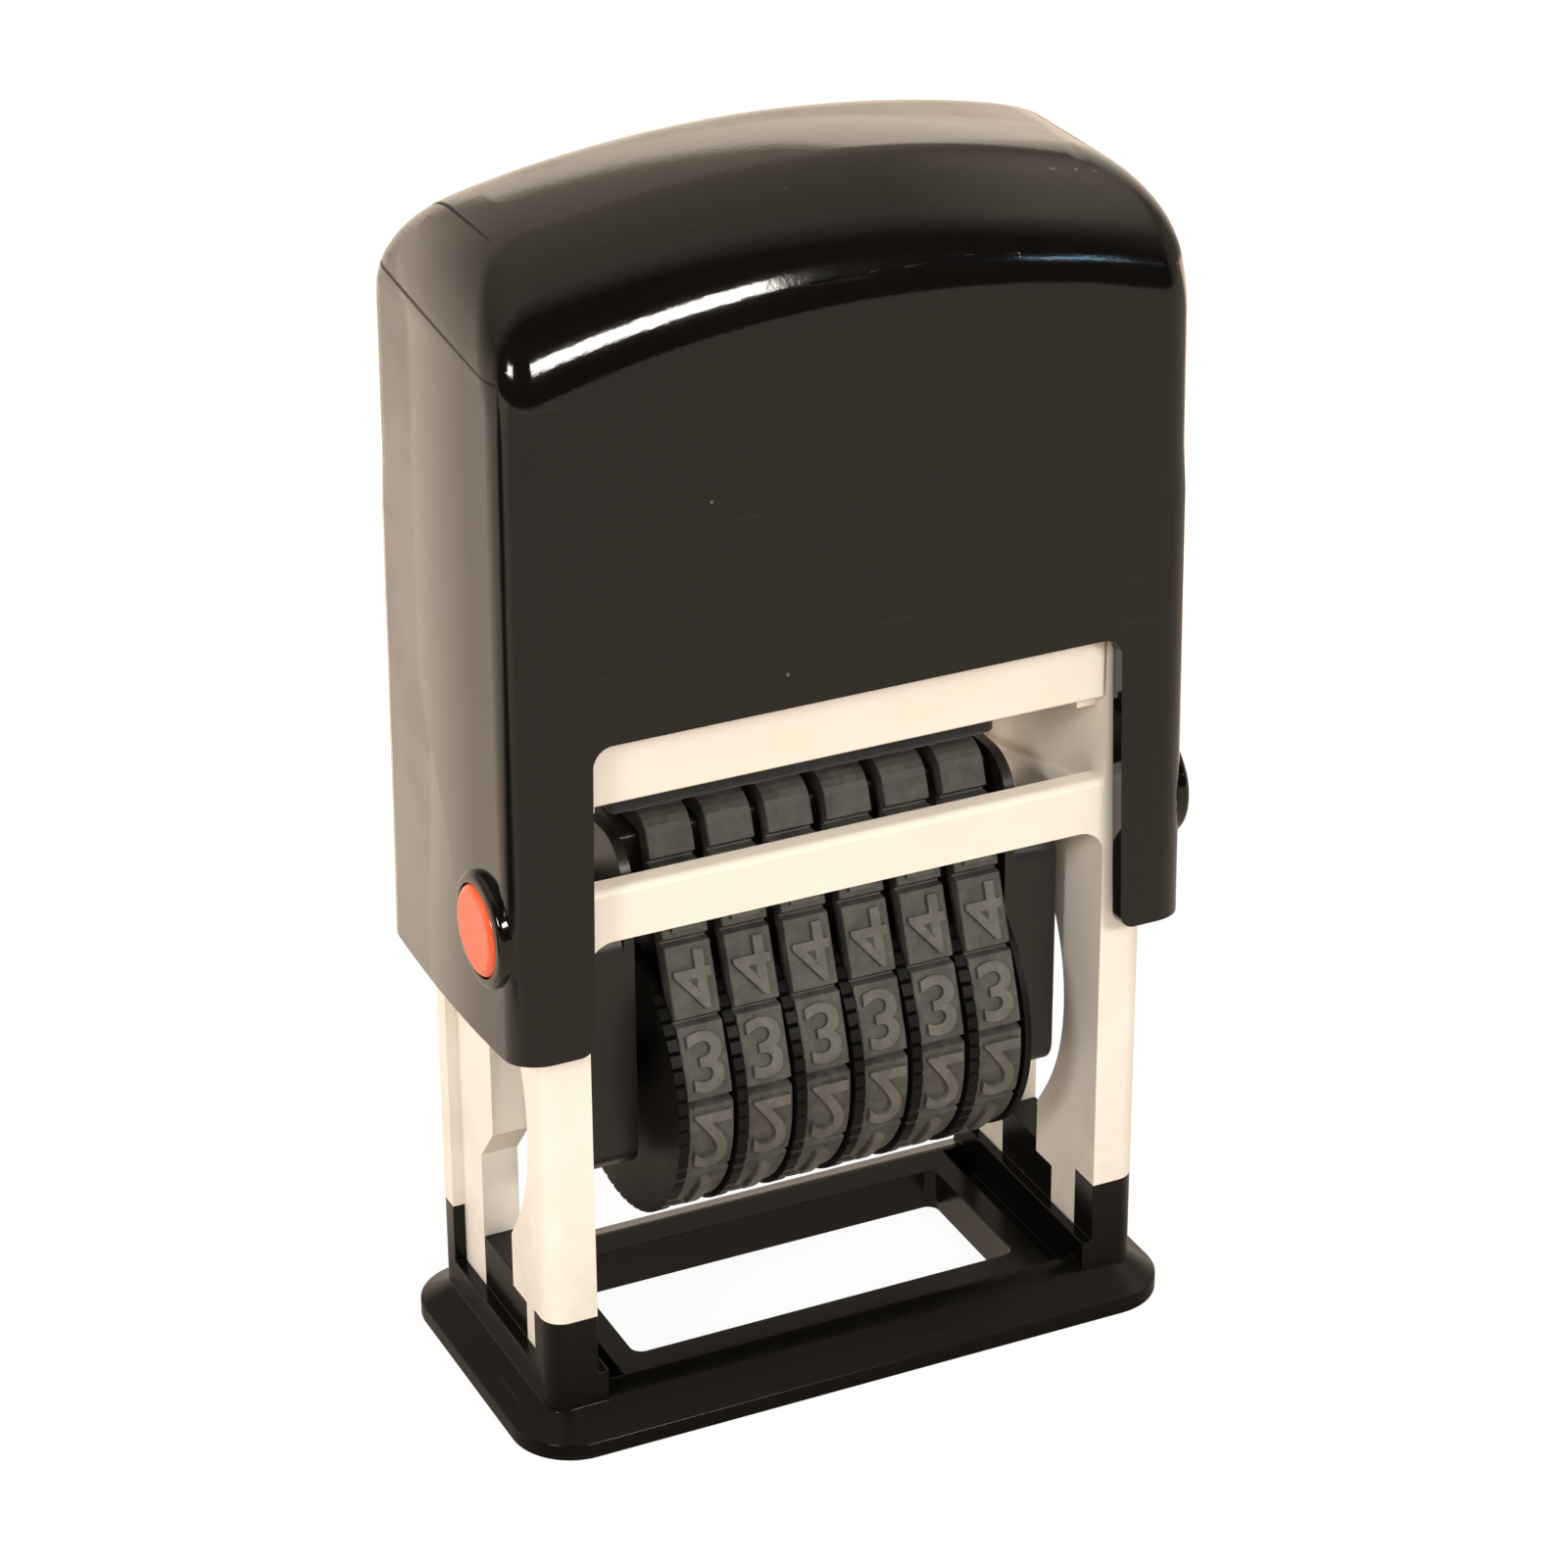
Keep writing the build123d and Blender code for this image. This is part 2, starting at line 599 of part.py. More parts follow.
def thumb_wheel(left):
    """Knurled rim and the hub that drives a band, its left face at a given X."""
    with BuildPart() as wheel:
        with BuildSketch(Plane.YZ.offset(left)):
            with Locations((0, shaft_height)):
                Circle(wheel_radius)
                with PolarLocations(wheel_radius, grip_count):
                    Polygon((0.1, -grip_depth), (-grip_depth, 0), (0.1, grip_depth), align=None,
                            mode=Mode.SUBTRACT)
        extrude(amount=wheel_rim)
        with BuildSketch(Plane.YZ.offset(left)):
            with Locations((0, shaft_height)):
                Circle(wheel_hub_radius)
        extrude(amount=digit_pitch - wheel_gap)
        with BuildSketch(Plane.YZ.offset(left)):
            with Locations((0, shaft_height)):
                Circle(shaft_radius + running_fit)
        extrude(amount=digit_pitch, mode=Mode.SUBTRACT)
    return wheel.part


# ---------------------------------------------------------------- return spring

spring_low = frame_top + spring_wire + 0.03
spring_high = cover_inside_top - spring_wire - 0.15

with BuildPart() as return_spring:
    with BuildLine(Plane.XY.offset(spring_low)) as coil:
        Helix((spring_high - spring_low) / spring_turns, spring_high - spring_low, spring_radius)
    with BuildSketch(Plane(coil.line @ 0, z_dir=coil.line % 0)):
        RegularPolygon(spring_wire, 8)
    sweep(is_frenet=True)
return_spring.part.label = "return_spring"

# ---------------------------------------------------------------- parts

pieces = [piece.part for piece in (foot_ring, inner_frame, ink_tray, ink_pad, cover_shell, platen,
                                   wheel_shaft, end_disc, return_spring)]
for side, name in ((-1, "left"), (1, "right")):
    button = lock_button(side)
    button.label = f"lock_button_{name}"
    plate = cheek(side)
    plate.label = f"cheek_{name}"
    pieces += [button, plate]
for number in range(digit_count):
    left = -digits_half + number * digit_pitch + wheel_gap / 2
    wheel = thumb_wheel(left)
    wheel.label = f"thumb_wheel_{number + 1}"
    band = number_band(left + wheel_rim + wheel_gap)
    band.label = f"number_band_{number + 1}"
    pieces += [wheel, band]

for piece in pieces:
    export_step(piece, f"parts/{piece.label}.step")
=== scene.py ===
import math

import bmesh
import bpy
import numpy as np
from mathutils import Matrix, Vector, noise


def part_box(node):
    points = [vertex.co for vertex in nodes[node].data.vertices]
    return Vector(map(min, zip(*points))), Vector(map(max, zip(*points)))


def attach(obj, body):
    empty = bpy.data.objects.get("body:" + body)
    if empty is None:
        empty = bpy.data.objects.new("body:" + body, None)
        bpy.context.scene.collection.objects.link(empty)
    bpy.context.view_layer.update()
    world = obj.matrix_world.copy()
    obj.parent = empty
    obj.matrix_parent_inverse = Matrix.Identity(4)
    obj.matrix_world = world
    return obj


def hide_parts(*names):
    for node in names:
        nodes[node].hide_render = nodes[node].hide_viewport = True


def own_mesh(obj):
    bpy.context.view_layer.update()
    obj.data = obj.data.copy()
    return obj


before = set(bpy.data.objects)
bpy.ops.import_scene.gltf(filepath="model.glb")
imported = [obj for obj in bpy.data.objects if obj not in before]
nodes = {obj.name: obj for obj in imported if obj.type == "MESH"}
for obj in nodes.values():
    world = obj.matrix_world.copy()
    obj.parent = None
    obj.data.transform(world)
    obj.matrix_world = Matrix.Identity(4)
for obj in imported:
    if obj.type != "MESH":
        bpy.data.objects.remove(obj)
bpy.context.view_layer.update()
MM = 0.001


# ---------------------------------------------------------------- camera

CAMERA_TURN = 25.35        # degrees to the left of the front
CAMERA_RISE = 26.83        # degrees above the table
CAMERA_ROLL = -0.32
CAMERA_DISTANCE = 300.0 * MM
CAMERA_TARGET = Vector((0.05, 0.49, 37.88)) * MM
LENS_OVER_SENSOR = 4856.67 / 1600


def place_camera():
    """The camera looks at the stamp from the front left and a little above."""
    turn, rise, roll = (math.radians(v) for v in (CAMERA_TURN, CAMERA_RISE, CAMERA_ROLL))
    back = Vector((-math.sin(turn) * math.cos(rise), -math.cos(turn) * math.cos(rise), math.sin(rise)))
    right = Vector((math.cos(turn), -math.sin(turn), 0))
    up = back.cross(right)
    rolled_right = math.cos(roll) * right + math.sin(roll) * up
    rolled_up = math.cos(roll) * up - math.sin(roll) * right
    data = bpy.data.cameras.new("camera")
    data.sensor_width = 36
    data.lens = LENS_OVER_SENSOR * data.sensor_width
    data.clip_start = 0.01
    data.clip_end = 20
    camera = bpy.data.objects.new("camera", data)
    bpy.context.collection.objects.link(camera)
    turned = Matrix((rolled_right, rolled_up, back)).transposed().to_4x4()
    camera.matrix_world = Matrix.Translation(CAMERA_TARGET + back * CAMERA_DISTANCE) @ turned
    bpy.context.scene.camera = camera


place_camera()


# ---------------------------------------------------------------- shader helpers

class Shader:
    """A small hand for wiring one node tree: adds nodes, links sockets and sets values by name."""

    def __init__(self, tree):
        self.tree = tree

    def place(self):
        """A point of the surface in the part's frame, in metres."""
        return self.add("ShaderNodeTexCoord").outputs["Object"]

    def axes(self, place):
        """X, Y and Z of a place or a direction, by name."""
        return self.add("ShaderNodeSeparateXYZ", Vector=place).outputs

    def add(self, kind, settings=None, **inputs):
        """A new node; an underscore in an input's name stands for a space."""
        node = self.tree.nodes.new(kind)
        for name, value in (settings or {}).items():
            setattr(node, name, value)
        for name, value in inputs.items():
            self.feed(node.inputs[name.replace("_", " ")], value)
        return node

    def feed(self, socket, value):
        """Links another socket, or sets a constant."""
        if isinstance(value, bpy.types.NodeSocket):
            self.tree.links.new(value, socket)
        else:
            socket.default_value = value

    def math(self, operation, first, second=0.0, clamp=False):
        node = self.add("ShaderNodeMath", {"operation": operation, "use_clamp": clamp})
        self.feed(node.inputs[0], first)
        self.feed(node.inputs[1], second)
        return node.outputs[0]

    def band(self, value, low, high, start=0.0, end=1.0):
        """Value mapped from low..high to start..end, held at both ends."""
        node = self.add("ShaderNodeMapRange", {"clamp": True})
        self.feed(node.inputs["Value"], value)
        for name, number in (("From Min", low), ("From Max", high), ("To Min", start), ("To Max", end)):
            self.feed(node.inputs[name], number)
        return node.outputs["Result"]

    def blend(self, share, first, second):
        """Two colours mixed."""
        node = self.add("ShaderNodeMix", {"data_type": "RGBA", "blend_type": "MIX"})
        self.feed(node.inputs["Factor"], share)
        self.feed(node.inputs["A"], first)
        self.feed(node.inputs["B"], second)
        return node.outputs["Result"]

    def mix(self, share, first, second):
        """Two shaders mixed."""
        node = self.add("ShaderNodeMixShader")
        for number, value in enumerate((share, first, second)):
            self.feed(node.inputs[number], value)
        return node.outputs[0]

    def noise(self, place, scale, detail=3.0, roughness=0.5):
        node = self.add("ShaderNodeTexNoise", Scale=scale, Detail=detail, Roughness=roughness)
        self.feed(node.inputs["Vector"], place)
        return node.outputs["Fac"]


def new_group(name, inputs, outputs):
    """An empty shader group with float inputs and outputs: its shader hand, inputs and outputs."""
    group = bpy.data.node_groups.new(name, "ShaderNodeTree")
    for label, value in inputs:
        socket = group.interface.new_socket(label, in_out="INPUT", socket_type="NodeSocketFloat")
        socket.default_value = value
    for label in outputs:
        group.interface.new_socket(label, in_out="OUTPUT", socket_type="NodeSocketFloat")
    shader = Shader(group)
    return shader, shader.add("NodeGroupInput").outputs, shader.add("NodeGroupOutput").inputs


def moulded_grain_group():
    """Fine grain of a moulded plastic, and the slow unevenness below it."""
    s, given, out = new_group("moulded grain", [("Grain size", 0.25), ("Unevenness size", 6.0)],
                              ["Height", "Mottle"])
    place = s.place()
    grain = s.noise(place, s.math("DIVIDE", 1000.0, given["Grain size"]), 2.0)
    slow = s.noise(place, s.math("DIVIDE", 1000.0, given["Unevenness size"]), 4.0, 0.55)
    s.feed(out["Height"], s.math("ADD", s.math("MULTIPLY", grain, 0.35), slow))
    s.feed(out["Mottle"], slow)
    return s.tree


def handling_group():
    """Marks of use: hairline scratches, smudges from fingers and settled specks of dust."""
    s, given, out = new_group("handling marks", [("Scratches", 0.5), ("Smudges", 0.5), ("Specks", 0.5)],
                              ["Scratch", "Smudge", "Speck"])
    place = s.place()
    strokes = []
    for turn, seed in ((0.5, 0.0), (-0.9, 3.1), (1.7, 7.4)):
        turned = s.add("ShaderNodeMapping", Scale=(60.0, 60.0, 2600.0), Rotation=(turn, turn * 0.6, seed))
        s.feed(turned.inputs["Vector"], place)
        stroke = s.noise(turned.outputs["Vector"], 1.0, 1.0)
        strokes.append(s.band(stroke, 0.735, 0.76))
    patches = s.band(s.noise(place, 210.0, 2.0), 0.5, 0.66)
    lines = s.math("MAXIMUM", s.math("MAXIMUM", strokes[0], strokes[1]), strokes[2])
    s.feed(out["Scratch"], s.math("MULTIPLY", s.math("MULTIPLY", lines, patches), given["Scratches"]))
    smudge = s.band(s.noise(place, 95.0, 5.0, 0.62), 0.42, 0.72)
    s.feed(out["Smudge"], s.math("MULTIPLY", smudge, given["Smudges"]))
    cells = s.add("ShaderNodeTexVoronoi", {"feature": "F1"}, Scale=420.0, Randomness=1.0)
    s.feed(cells.inputs["Vector"], place)
    dots = s.band(cells.outputs["Distance"], 0.03, 0.06, 1.0, 0.0)
    rare = s.band(s.add("ShaderNodeSeparateColor", Color=cells.outputs["Color"]).outputs[0], 0.84, 0.87)
    s.feed(out["Speck"], s.math("MULTIPLY", s.math("MULTIPLY", dots, rare), given["Specks"]))
    return s.tree


def low_darkening_group():
    """Darkening low down, fading with height, in patches."""
    s, given, out = new_group("darkening", [("Low", 0.0), ("High", 0.05), ("Amount", 0.5)], ["Mask"])
    place = s.place()
    height = s.axes(place)["Z"]
    # darker towards the bottom, fading with height
    fall = s.band(height, given["Low"], given["High"], 1.0, 0.0)
    patches = s.band(s.noise(place, 240.0, 6.0, 0.65), 0.35, 0.75)
    s.feed(out["Mask"], s.math("MULTIPLY", s.math("MULTIPLY", fall, patches), given["Amount"], True))
    return s.tree


GRAIN = moulded_grain_group()
HANDLING = handling_group()
LOW_DARKENING = low_darkening_group()


def new_material(name):
    """A material with an empty Principled surface: the material, its shader hand and the surface's inputs."""
    material = bpy.data.materials.new(name)
    material.use_nodes = True
    material.node_tree.nodes.clear()
    shader = Shader(material.node_tree)
    surface = shader.add("ShaderNodeBsdfPrincipled")
    output = shader.add("ShaderNodeOutputMaterial")
    shader.feed(output.inputs["Surface"], surface.outputs["BSDF"])
    return material, shader, surface.inputs


def use_group(shader, group, **inputs):
    """Adds a shader group with its inputs set by name, and gives its outputs."""
    node = shader.add("ShaderNodeGroup", {"node_tree": group})
    for name, value in inputs.items():
        shader.feed(node.inputs[name.replace("_", " ")], value)
    return node.outputs


def raise_surface(shader, height, distance):
    """The normal of a surface with this relief; distance is the relief's depth in metres."""
    node = shader.add("ShaderNodeBump", Strength=1.0, Distance=distance)
    shader.feed(node.inputs["Height"], height)
    return node.outputs["Normal"]


# ---------------------------------------------------------------- materials

DUST = (0.2, 0.19, 0.175, 1)
SEAM_DIRT = (0.002, 0.002, 0.002, 1)


def gloss_black_plastic(name, colour, polish, ior, seams=None):
    """Polished black plastic of the cover and foot, with hairlines, smudges and dust."""
    material, s, surface = new_material(name)
    grain = use_group(s, GRAIN, Grain_size=0.5, Unevenness_size=14.0)
    marks = use_group(s, HANDLING, Scratches=0.12, Smudges=0.5, Specks=0.7)
    lighter = tuple(c * 1.5 + 0.001 for c in colour[:3]) + (1,)
    shade = s.blend(grain["Mottle"], colour, lighter)
    dusted = s.math("ADD", marks["Speck"], s.math("MULTIPLY", marks["Scratch"], 0.25), True)
    shade = s.blend(dusted, shade, DUST)
    rough = s.math("ADD", polish, s.math("MULTIPLY", marks["Smudge"], 0.09))
    rough = s.math("ADD", rough, s.math("MULTIPLY", marks["Scratch"], 0.25))
    height = s.math("SUBTRACT", grain["Height"], s.math("MULTIPLY", marks["Scratch"], 0.5))
    if seams:
        line = seams(s)
        shade = s.blend(line, shade, SEAM_DIRT)
        rough = s.math("ADD", rough, s.math("MULTIPLY", line, 0.5))
        height = s.math("SUBTRACT", height, s.math("MULTIPLY", line, 3.0))
    s.feed(surface["Base Color"], shade)
    s.feed(surface["Roughness"], rough)
    normal = raise_surface(s, height, 0.00001)
    if seams:
        swell = s.add("ShaderNodeBump", Strength=1.0, Distance=1.0)
        s.feed(swell.inputs["Height"], back_swell(s))
        s.feed(swell.inputs["Normal"], normal)
        normal = swell.outputs["Normal"]
    s.feed(surface["Normal"], normal)
    surface["IOR"].default_value = ior
    return material


SHOULDER = 73.1 * MM       # where the cover's sides turn into the top corners
SHOULDER_RISE = 0.089      # how much the seam there climbs towards the back
SIDE_START = 22.3 * MM     # X beyond which the cover counts as its side
CROWN_START = 19.3 * MM    # X where the corners turn into the crown
CROWN_SEAM_FRONT = -4.5 * MM
SEAM = 0.07 * MM
SWELL = 10.0               # how fast the slope grows towards the back edge, per metre
SWELL_START = -5.0 * MM


def back_swell(s):
    """The faint swell of the cover: its sides and crown fall away towards the back edge."""
    place = s.axes(s.place())
    behind = s.math("MAXIMUM", s.math("SUBTRACT", place["Y"], SWELL_START), 0.0)
    return s.math("MULTIPLY", s.math("MULTIPLY", behind, behind), -SWELL)


def cover_seams(s):
    """Fine lines where the side, the corner and the crown of the cover meet."""
    place = s.axes(s.place())
    shoulder = s.math("ADD", SHOULDER, s.math("MULTIPLY", place["Y"], SHOULDER_RISE))
    low = s.math("ABSOLUTE", s.math("SUBTRACT", place["Z"], shoulder))
    on_side = s.math("GREATER_THAN", s.math("ABSOLUTE", place["X"]), SIDE_START)
    low_line = s.math("MULTIPLY", s.band(low, SEAM, 2 * SEAM, 1.0, 0.0), on_side)
    high = s.math("ABSOLUTE", s.math("SUBTRACT", s.math("ABSOLUTE", place["X"]), CROWN_START))
    on_top = s.band(place["Y"], CROWN_SEAM_FRONT, 0.0)
    above = s.math("GREATER_THAN", place["Z"], shoulder)
    high_line = s.math("MULTIPLY", s.band(high, SEAM, 2 * SEAM, 1.0, 0.0),
                       s.math("MULTIPLY", on_top, above))
    return s.math("MAXIMUM", low_line, high_line)


LOW_DARK_COLOUR = (0.36, 0.32, 0.26, 1)
PAINTED_BRIGHT_BELOW = 28.0 * MM    # height up to which the white plastic is painted brighter, as painted light
# height from which the white plastic is painted darker and warmer, as painted shade
PAINTED_DARKER_ABOVE = 39.0 * MM


def satin_plastic(name, colour, dark, roughness, darker_to=0.0, darkening=0.0, painted_low_colour=None, ior=1.5):
    """Moulded plastic with a fine grain, darker in patches low down. If a low colour is given, the plastic is
    painted in it low down and in its own colour higher up, as painted light and shade: brighter below, darker
    above.
    """
    material, s, surface = new_material(name)
    grain = use_group(s, GRAIN, Grain_size=0.22, Unevenness_size=7.0)
    marks = use_group(s, HANDLING, Scratches=0.5, Smudges=0.6, Specks=0.4)
    low_dark = use_group(s, LOW_DARKENING, Low=0.0, High=darker_to, Amount=darkening)
    # painted light and shade by height: brighter low down, darker higher up
    if painted_low_colour:
        place = s.axes(s.place())
        colour = s.blend(s.band(place["Z"], PAINTED_BRIGHT_BELOW, PAINTED_DARKER_ABOVE), painted_low_colour, colour)
        dark = s.blend(0.5, colour, dark)
    shade = s.blend(s.band(grain["Mottle"], 0.3, 0.7), colour, dark)
    shade = s.blend(s.math("MULTIPLY", marks["Smudge"], 0.25), shade, dark)
    # darker towards the bottom, in patches
    shade = s.blend(low_dark["Mask"], shade, LOW_DARK_COLOUR)
    s.feed(surface["Base Color"], shade)
    rough = s.math("ADD", roughness, s.math("MULTIPLY", marks["Smudge"], 0.12))
    s.feed(surface["Roughness"], s.math("ADD", rough, s.math("MULTIPLY", low_dark["Mask"], 0.2), True))
    s.feed(surface["Normal"], raise_surface(s, grain["Height"], 0.00002))
    surface["IOR"].default_value = ior
    return material


def band_rubber(name):
    """Moulded rubber with a dry bloom and traces of ink. The tops of the raised digits are painted lighter as
    painted light, and the rest of the band darker as ink and painted shade.
    """
    material, s, surface = new_material(name)
    place = s.place()
    grain = use_group(s, GRAIN, Grain_size=0.12, Unevenness_size=2.2)
    bloom = s.band(s.noise(place, 700.0, 6.0, 0.7), 0.38, 0.7)
    shade = s.blend(bloom, (0.062, 0.058, 0.052, 1), (0.135, 0.128, 0.112, 1))
    ink = s.band(s.noise(place, 330.0, 3.0), 0.55, 0.7, 0.0, 0.5)
    shade = s.blend(ink, shade, (0.035, 0.033, 0.031, 1))
    raised = s.add("ShaderNodeAttribute", {"attribute_name": "type_face"}).outputs["Fac"]
    # ink and painted shade: all of the band but the digits' tops is darkened
    inked_and_shaded_ground = s.blend(0.22, shade, (0.02, 0.019, 0.018, 1))
    # painted light: the tops of the raised digits are lightened
    painted_lit_face = s.blend(0.14, shade, (0.26, 0.245, 0.21, 1))
    shade = s.blend(raised, inked_and_shaded_ground, painted_lit_face)
    s.feed(surface["Base Color"], shade)
    s.feed(surface["Roughness"], s.band(bloom, 0.0, 1.0, 0.5, 0.72))
    s.feed(surface["Normal"], raise_surface(s, grain["Height"], 0.00003))
    return material


def pad_felt(name):
    """Inked felt: dark matted fibres."""
    material, s, surface = new_material(name)
    place = s.place()
    fibres = s.noise(place, 5200.0, 6.0, 0.8)
    wet = s.band(s.noise(place, 350.0, 3.0), 0.4, 0.65)
    shade = s.blend(fibres, (0.012, 0.011, 0.014, 1), (0.05, 0.046, 0.05, 1))
    s.feed(surface["Base Color"], shade)
    s.feed(surface["Roughness"], s.band(wet, 0.0, 1.0, 0.95, 0.6))
    s.feed(surface["Normal"], raise_surface(s, fibres, 0.00006))
    surface["Sheen Weight"].default_value = 0.3
    return material


def turned_steel(name, axis):
    """Drawn steel with fine rings or lines along one axis of the object's frame."""
    material, s, surface = new_material(name)
    place = s.place()
    stretch = [90.0, 90.0, 90.0]
    stretch[axis] = 5200.0                 # fine along the axis, long across it
    turned = s.add("ShaderNodeMapping", Scale=tuple(stretch))
    s.feed(turned.inputs["Vector"], place)
    rings = s.noise(turned.outputs["Vector"], 1.0, 4.0, 0.6)
    shade = s.blend(rings, (0.42, 0.42, 0.43, 1), (0.66, 0.65, 0.64, 1))
    s.feed(surface["Base Color"], shade)
    s.feed(surface["Roughness"], s.band(rings, 0.2, 0.8, 0.24, 0.42))
    s.feed(surface["Normal"], raise_surface(s, rings, 0.00001))
    surface["Metallic"].default_value = 1.0
    return material


def button_plastic(name):
    """Bright red plastic, a little uneven in colour and smudged by fingers."""
    material, s, surface = new_material(name)
    grain = use_group(s, GRAIN, Grain_size=0.3, Unevenness_size=2.5)
    marks = use_group(s, HANDLING, Scratches=0.8, Smudges=0.5, Specks=0.2)
    shade = s.blend(grain["Mottle"], (0.82, 0.085, 0.022, 1), (0.9, 0.15, 0.05, 1))
    s.feed(surface["Base Color"], shade)
    s.feed(surface["Roughness"], s.math("ADD", 0.2, s.math("MULTIPLY", marks["Smudge"], 0.12)))
    s.feed(surface["Normal"], raise_surface(s, grain["Height"], 0.00001))
    return material


COVER = gloss_black_plastic("cover gloss", (0.0028, 0.0022, 0.0018, 1), 0.07, 1.5, cover_seams)
FOOT = gloss_black_plastic("foot gloss", (0.0025, 0.0022, 0.0018, 1), 0.17, 1.3)
# the white plastic is painted brighter low down and darker higher up, as painted light and shade
WHITE = satin_plastic("frame white", (0.93, 0.885, 0.80, 1), (0.86, 0.79, 0.68, 1), 0.34,
                      darker_to=22.0 * MM, darkening=0.45, painted_low_colour=(0.96, 0.93, 0.87, 1))
CARRIAGE = satin_plastic("carriage black", (0.018, 0.016, 0.014, 1), (0.010, 0.009, 0.008, 1), 0.3)
WHEEL = satin_plastic("wheel black", (0.006, 0.0055, 0.005, 1), (0.0035, 0.003, 0.0027, 1), 0.42, ior=1.25)
RUBBER = band_rubber("band rubber")
FELT = pad_felt("pad felt")
SHAFT = turned_steel("shaft steel", 0)
SPRING = turned_steel("spring steel", 2)
RED = button_plastic("button red")

FINISH_OF = {"cover_shell": COVER, "foot_ring": FOOT, "inner_frame": WHITE, "ink_tray": WHITE,
             "ink_pad": FELT, "platen": CARRIAGE, "wheel_shaft": SHAFT, "end_disc": WHEEL,
             "return_spring": SPRING, "lock_button_left": RED, "lock_button_right": RED,
             "cheek_left": CARRIAGE, "cheek_right": CARRIAGE}
for name, node in nodes.items():
    finish = FINISH_OF.get(name) or (WHEEL if name.startswith("thumb_wheel") else RUBBER)
    node.data.materials.clear()
    node.data.materials.append(finish)


# ---------------------------------------------------------------- moulded edges

ROUNDED_FROM = math.radians(32)    # edges sharper than this are rounded


def bare_copy(shape, name):
    """Ends a bmesh as a plain mesh of its points and faces, without its old normals and marks."""
    marked = bpy.data.meshes.new(name)
    shape.to_mesh(marked)
    shape.free()
    data = bpy.data.meshes.new(name)
    data.from_pydata([v.co for v in marked.vertices], [], [list(face.vertices) for face in marked.polygons])
    bpy.data.meshes.remove(marked)
    return data


def finished(shape, name):
    """Ends a bmesh as a mesh with its layers."""
    data = bpy.data.meshes.new(name)
    shape.to_mesh(data)
    shape.free()
    return data


def object_of(name, data, finish):
    """Puts a finished mesh in the scene."""
    data.name = name
    piece = bpy.data.objects.new(name, data)
    bpy.context.collection.objects.link(piece)
    data.materials.append(finish)
    return piece


def soft_edged(name, body, width, finish):
    """The same piece with its sharp edges rounded as the mould leaves them; width is in mm."""
    node = nodes[name]
    shape = bmesh.new()
    shape.from_mesh(node.data)
    bmesh.ops.transform(shape, matrix=node.matrix_world, verts=shape.verts)
    bmesh.ops.remove_doubles(shape, verts=shape.verts, dist=0.002 * MM)
    bmesh.ops.dissolve_limit(shape, angle_limit=math.radians(0.6), verts=shape.verts, edges=shape.edges)
    data = bare_copy(shape, f"{name}_sharp")
    data.shade_smooth()
    sharp = bpy.data.objects.new(f"{name}_sharp", data)
    bpy.context.collection.objects.link(sharp)
    round_off = sharp.modifiers.new("edge round", "BEVEL")
    round_off.width = width * MM
    round_off.segments = 3
    round_off.limit_method = "ANGLE"
    round_off.angle_limit = ROUNDED_FROM
    round_off.harden_normals = True
    round_off.miter_outer = "MITER_ARC"
    bpy.context.view_layer.update()
    rounded = bpy.data.meshes.new_from_object(sharp.evaluated_get(bpy.context.evaluated_depsgraph_get()))
    bpy.data.objects.remove(sharp)
    bpy.data.meshes.remove(data)
    piece = object_of(f"{name}_moulded", rounded, finish)
    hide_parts(name)
    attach(piece, body)


# the cover's outer form, in mm
COVER_HALF_WIDTH = 22.7            # at the shoulder
COVER_HALF_DEPTH = 10.65
COVER_DRAFT = math.tan(math.radians(0.57))
COVER_SHOULDER = 72.29             # height at which the sides end
COVER_TOP = 80.6
CROWN_RADIUS = 80.0
CORNER_RADIUS = 6.5
UPRIGHT_ROUND = 2.4                # rounding of the four upright edges
FRONT_ROUND = 8.0                  # rounding of the crown towards the front and the back
BACK_ROUND = 6.2
DOME_START = 58.0                  # the skin is shaped above this height
CORNER_X = COVER_HALF_WIDTH - CORNER_RADIUS
CORNER_LEAN = math.asin(CORNER_X / (CROWN_RADIUS - CORNER_RADIUS))
CROWN_SINK = 0.4                   # how fast the profile sinks below the crown, away from the corners
SINK_MARGIN = 1.4
SINK_BELOW_SHOULDER = 8
SKIN_REACH = 0.9                   # the faces that are cut lie less deep than this
SKIN_DEPTH = 0.6                   # the points that are moved lie less deep than this
SKIN_STEPS = 8
SKIN_FOUND = 0.03                  # a point this near to the form is on the skin


def rounded_meeting(first, second, radius):
    """Depth below two surfaces that meet in an edge of this radius, and the first one's share of it."""
    a, b = first + radius, second + radius
    reach = np.hypot(np.maximum(a, 0), np.maximum(b, 0))
    share = np.where(reach > 0, np.maximum(a, 0) / np.maximum(reach, 1e-9), first > second)
    return reach - radius + np.minimum(np.maximum(a, b), 0), share


